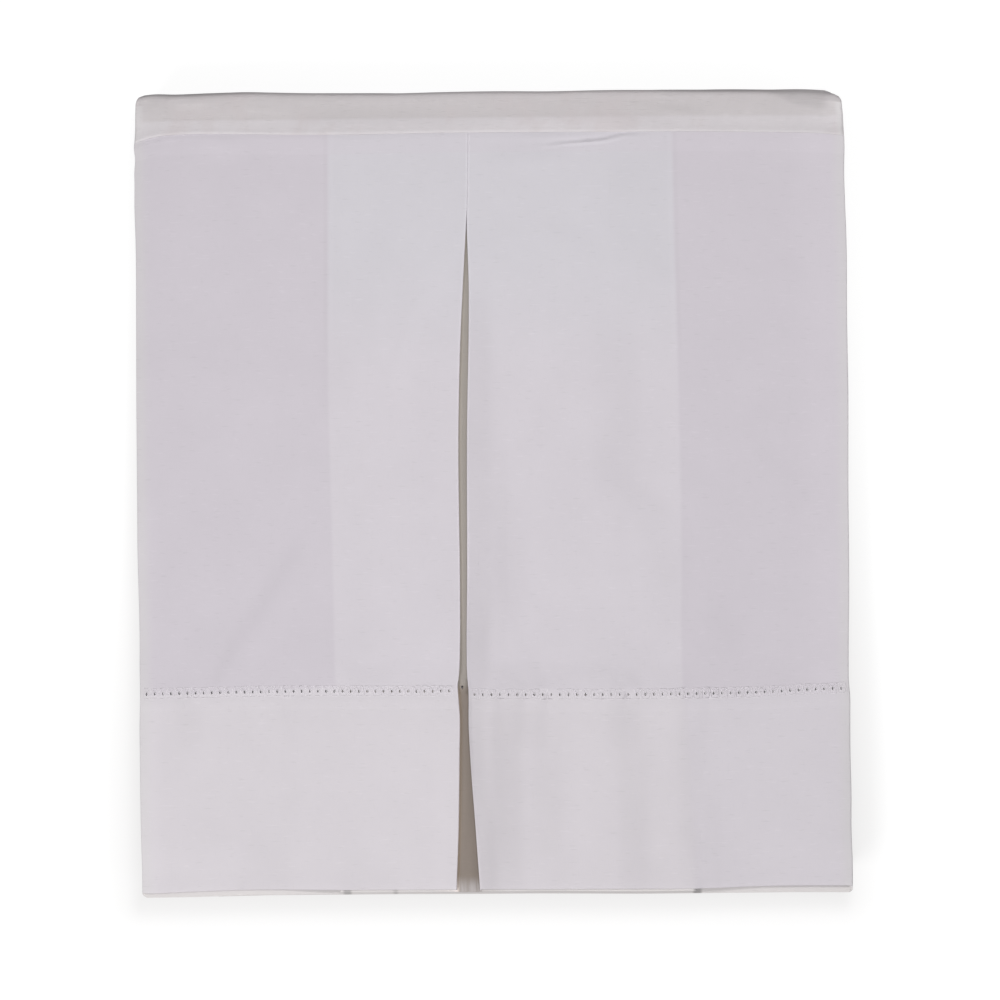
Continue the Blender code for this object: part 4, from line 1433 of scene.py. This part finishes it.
def hemstitch_tree():
    """The stitches around one hole: a ring, a strand in it, a dash above and below, bars and ties."""
    tree, given, result = sewing_group(
        "hemstitching", ("Hole Width", 0.0015), ("Hole Height", 0.0022), ("Dash Width", 0.0028),
        ("Dash Rise", 0.0026), ("Pitch", 0.0042),
    )
    thread = given["Thread"]
    circle = put(tree, "GeometryNodeCurvePrimitiveCircle", {"Resolution": 14, "Radius": 0.5})
    around = point(tree, maths(tree, "ADD", given["Hole Width"], thread),
                   maths(tree, "ADD", given["Hole Height"], thread), 1.0)
    ring = put(tree, "GeometryNodeTransform", {0: circle.outputs[0], "Scale": around}).outputs[0]
    right = times(tree, given["Dash Width"], 0.5)
    left = times(tree, right, -1.0)
    high = given["Dash Rise"]
    low = times(tree, high, -0.86)
    lift = times(tree, thread, 0.25)
    dashes = [arched(tree, (left, y), (0.0, y, lift), (right, y), 4) for y in (high, low)]
    parts = [thread_along(tree, curve, thread) for curve in (ring, *dashes)]
    rim = times(tree, given["Hole Height"], 0.5)
    beside = times(tree, times(tree, given["Hole Width"], 0.5), 0.45)
    sunk = (times(tree, beside, 0.6), 0.0, times(tree, thread, -2.0))
    strand = arched(tree, (beside, rim), sunk, (beside, times(tree, rim, -1.0)))
    parts.append(thread_along(tree, strand, times(tree, thread, 1.6)))
    halfway = times(tree, given["Pitch"], 0.5)
    for lean in (-0.10, 0.13):
        foot = maths(tree, "MULTIPLY_ADD", given["Pitch"], lean, halfway)
        head = maths(tree, "MULTIPLY_ADD", given["Pitch"], -0.6 * lean, halfway)
        parts.append(thread_along(tree, arched(tree, (foot, low), (foot, 0.0, lift), (head, high)), thread))
    for start in (left, right):
        middle = (times(tree, start, 0.6), times(tree, high, 0.7), lift)
        tie = arched(tree, (start, high), middle, (times(tree, start, 0.3), rim))
        parts.append(thread_along(tree, tie, times(tree, thread, 0.8)))
    repeated(tree, given, result, joined(tree, parts))
    return tree


def bridge_tree():
    """A short thread that crosses between two folded edges."""
    tree, given, result = sewing_group(
        "bridging_stitches", ("Reach", 0.0012), ("Slant", 0.0004), ("Dip", 0.0003), ("Upright", 0.0))
    end = (times(tree, given["Reach"], 0.5), times(tree, given["Slant"], 0.5))
    start = tuple(times(tree, part, -1.0) for part in end)
    curve = arched(tree, start, (0.0, 0.0, times(tree, given["Dip"], -1.0)), end, 4)
    upright = point(tree, 0.0, 0.0, given["Upright"])
    turned = put(tree, "GeometryNodeTransform", {0: curve, "Rotation": upright})
    repeated(tree, given, result, thread_along(tree, turned.outputs[0], given["Thread"]))
    return tree


def sewn(name, tree, places, sizes):
    """A piece of sewing: the tree's stitch on each place, which is in millimetres, as a plain mesh."""
    guide_mesh = bpy.data.meshes.new(name + "_places")
    guide_mesh.from_pydata(np.array(places) * MM, [], [])
    guide = added(name + "_places", guide_mesh)
    modifier = guide.modifiers.new("stitches", "NODES")
    modifier.node_group = tree
    for item in tree.interface.items_tree:
        if item.in_out == "INPUT" and item.name in sizes:
            modifier[item.identifier] = sizes[item.name]
    bpy.context.view_layer.update()
    evaluated = guide.evaluated_get(bpy.context.evaluated_depsgraph_get())
    mesh = bpy.data.meshes.new_from_object(evaluated)
    mesh.name = name
    guide.modifiers.clear()
    bpy.data.objects.remove(guide, do_unlink=True)
    bpy.data.meshes.remove(guide_mesh)
    return added(name, mesh)


def top_height(x, y):
    """Height of the drop's face at places of its top ply."""
    return settled(x, y, drop_heights(y)[-1] + cloth_at(y) / 2)[2]


def make_sewing(hole_centres, thread):
    """The hemstitching, the stitches that hold the pleat, and those of the seam."""
    hemstitching = sewn("hemstitching", hemstitch_tree(), np.array(hole_centres) + (0, 0, 0.02), {
        "Thread": HEMSTITCH_THREAD * MM, "Material": thread, "Seed": 4, "Pitch": BAR_PITCH * MM,
        "Dash Width": DASH_WIDTH * MM, "Dash Rise": DASH_RISE * MM,
        "Hole Width": 2 * HOLE_HALF_WIDTH * MM, "Hole Height": 2 * HOLE_HALF_HEIGHT * MM,
    })
    bridge = bridge_tree()
    shared = {"Thread": SEWING_THREAD * MM, "Material": thread, "Reach": STITCH_REACH * MM}
    y = spaced(PLEAT_OPENS + 1.0, PLEAT_TOP - 2.0, PLEAT_STITCH_PITCH)
    x = (fold_at(PLEAT_EDGES, LEFT, y) + fold_at(PLEAT_EDGES, RIGHT, y)) / 2
    pleat = sewn("pleat_stitches", bridge, np.stack([x, y, top_height(x, y) - 0.25], axis=-1),
                 {**shared, "Seed": 9, "Slant": 0.5 * MM, "Dip": 0.2 * MM})
    x = spaced(-HALF_WIDTH + 4.0, HALF_WIDTH - 4.0, SEAM_STITCH_PITCH)
    y = seam_at(x)
    seam = sewn("seam_stitches", bridge, np.stack([x, y, top_height(x, y) - SEAM_ROLL - 0.08], axis=-1),
                {**shared, "Seed": 5, "Slant": 0.6 * MM, "Dip": 0.1 * MM, "Upright": math.pi / 2})
    return hemstitching, pleat, seam


# The studio

CENTRE = (3.5, -3.5)          # of the view
VIEW_WIDTH = 500.0            # across the frame, at the skirt's face
LENS = 100.0
SENSOR = 36.0
ROLL = -0.6                   # degrees that the camera is turned, so the skirt looks turned the other way
# The floor's painted shadow around the skirt: where it lies, how far it reaches and how it fades
SHADE_X = (-3.0, 178.0)       # middle and half the width of the floor's shade
SHADE_Y = (-7.0, 197.5)       # the same along Y
SHADE_REACH = 32.0            # over which it fades out
SHADE_LEAST = 0.05            # of it is left beside the seam
SHADE_FADES = (-170.0, 200.0)     # where that begins and ends, along Y
SHADE_NARROWEST = 2.1         # times sooner it fades out there
SHADE_NARROWS = (-170.0, 100.0)
PAINTED_SHADOW = (0.815, 0.807, 0.805)
WHITE = (1.0, 1.0, 1.0)
BLACK = (0.0, 0.0, 0.0)
FLOOR = (0.20, 0.20, 0.20)    # apart from what makes it look white
FLOOR_GLOW = 0.86
FLOOR_REACH = 4.0             # in metres


def make_camera():
    """A camera straight above the skirt."""
    data = bpy.data.cameras.new("camera")
    data.lens = LENS
    data.sensor_width = SENSOR
    data.clip_start = 0.05
    data.clip_end = 20.0
    camera = added("camera", data)
    distance = VIEW_WIDTH * LENS / SENSOR
    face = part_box("drop")[1].z / MM
    camera.location = (CENTRE[0] * MM, CENTRE[1] * MM, (face + distance) * MM)
    camera.rotation_euler = (0.0, 0.0, math.radians(ROLL))
    bpy.context.scene.camera = camera


def make_light(name, place, size, power):
    """A round lamp that shines towards the skirt."""
    data = bpy.data.lights.new(name, "AREA")
    data.shape = "DISK"
    data.size = size
    data.energy = power
    light = added(name, data)
    light.location = place
    light.rotation_euler = light.location.to_track_quat("Z", "Y").to_euler()
    light.visible_camera = False


def floor_material():
    """A pale floor that looks white, with a painted soft shadow around the skirt where it lies."""
    material, tree, shader = new_material("pale_floor", sheen=0.0)
    feed(tree, shader.inputs["Base Color"], (*FLOOR, 1.0))
    feed(tree, shader.inputs["Roughness"], 0.9)
    place = put(tree, "ShaderNodeTexCoord").outputs["Object"]
    split = put(tree, "ShaderNodeSeparateXYZ", {0: place}).outputs
    beyond = []
    for axis, middle, half in (("X", *SHADE_X), ("Y", *SHADE_Y)):
        from_middle = maths(tree, "ABSOLUTE", maths(tree, "SUBTRACT", split[axis], middle * MM))
        beyond.append(maths(tree, "MAXIMUM", maths(tree, "SUBTRACT", from_middle, half * MM), 0.0))
    squares = summed(tree, times(tree, beyond[0], beyond[0]), (beyond[1], beyond[1]))
    narrowing = eased(tree, split["Y"], *SHADE_NARROWS, 1.0, SHADE_NARROWEST)
    distance = times(tree, maths(tree, "SQRT", squares), narrowing)
    shade = maths(tree, "MULTIPLY_ADD", distance, -1.0 / (SHADE_REACH * MM), 1.0, use_clamp=True)
    shade = times(tree, shade, eased(tree, split["Y"], *SHADE_FADES, 1.0, SHADE_LEAST))
    seen = put(tree, "ShaderNodeLightPath").outputs["Is Camera Ray"]
    glow = mixed(tree, seen, BLACK, mixed(tree, shade, WHITE, PAINTED_SHADOW))
    feed(tree, shader.inputs["Emission Color"], glow)
    feed(tree, shader.inputs["Emission Strength"], FLOOR_GLOW)
    return material


def make_studio():
    """The floor, three lamps and a soft light from all around."""
    corners = [(x * FLOOR_REACH, y * FLOOR_REACH, 0.0) for x, y in ((-1, -1), (1, -1), (1, 1), (-1, 1))]
    mesh = bpy.data.meshes.new("floor")
    mesh.from_pydata(corners, [], [(0, 1, 2, 3)])
    mesh.materials.append(floor_material())
    added("floor", mesh)
    make_light("overhead", place=(0.115, 0.32, 0.95), size=0.3, power=3.6)
    make_light("window", place=(-0.92, -1.23, 1.29), size=0.9, power=25.7)
    make_light("fill", place=(2.0, -0.56, 0.73), size=1.0, power=8.8)
    world = bpy.data.worlds.new("studio")
    world.use_nodes = True
    background = world.node_tree.nodes["Background"]
    background.inputs["Color"].default_value = (*WHITE, 1.0)
    background.inputs["Strength"].default_value = 0.30
    scene = bpy.context.scene
    scene.world = world
    scene.view_settings.view_transform = "Standard"
    scene.view_settings.look = "None"


def main():
    make_camera()
    groups = {"plain_weave": plain_weave_group(), "slubs": slubs_group(), "mottle": mottle_group()}
    drop, hole_centres = make_drop(face_cloth_material(groups))
    deck = make_deck(muslin_material(groups))
    sewing = make_sewing(hole_centres, thread_material())
    make_studio()
    for piece in (drop, deck, *sewing):
        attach(piece, "root")
    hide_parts("drop")
    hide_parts("deck")


main()
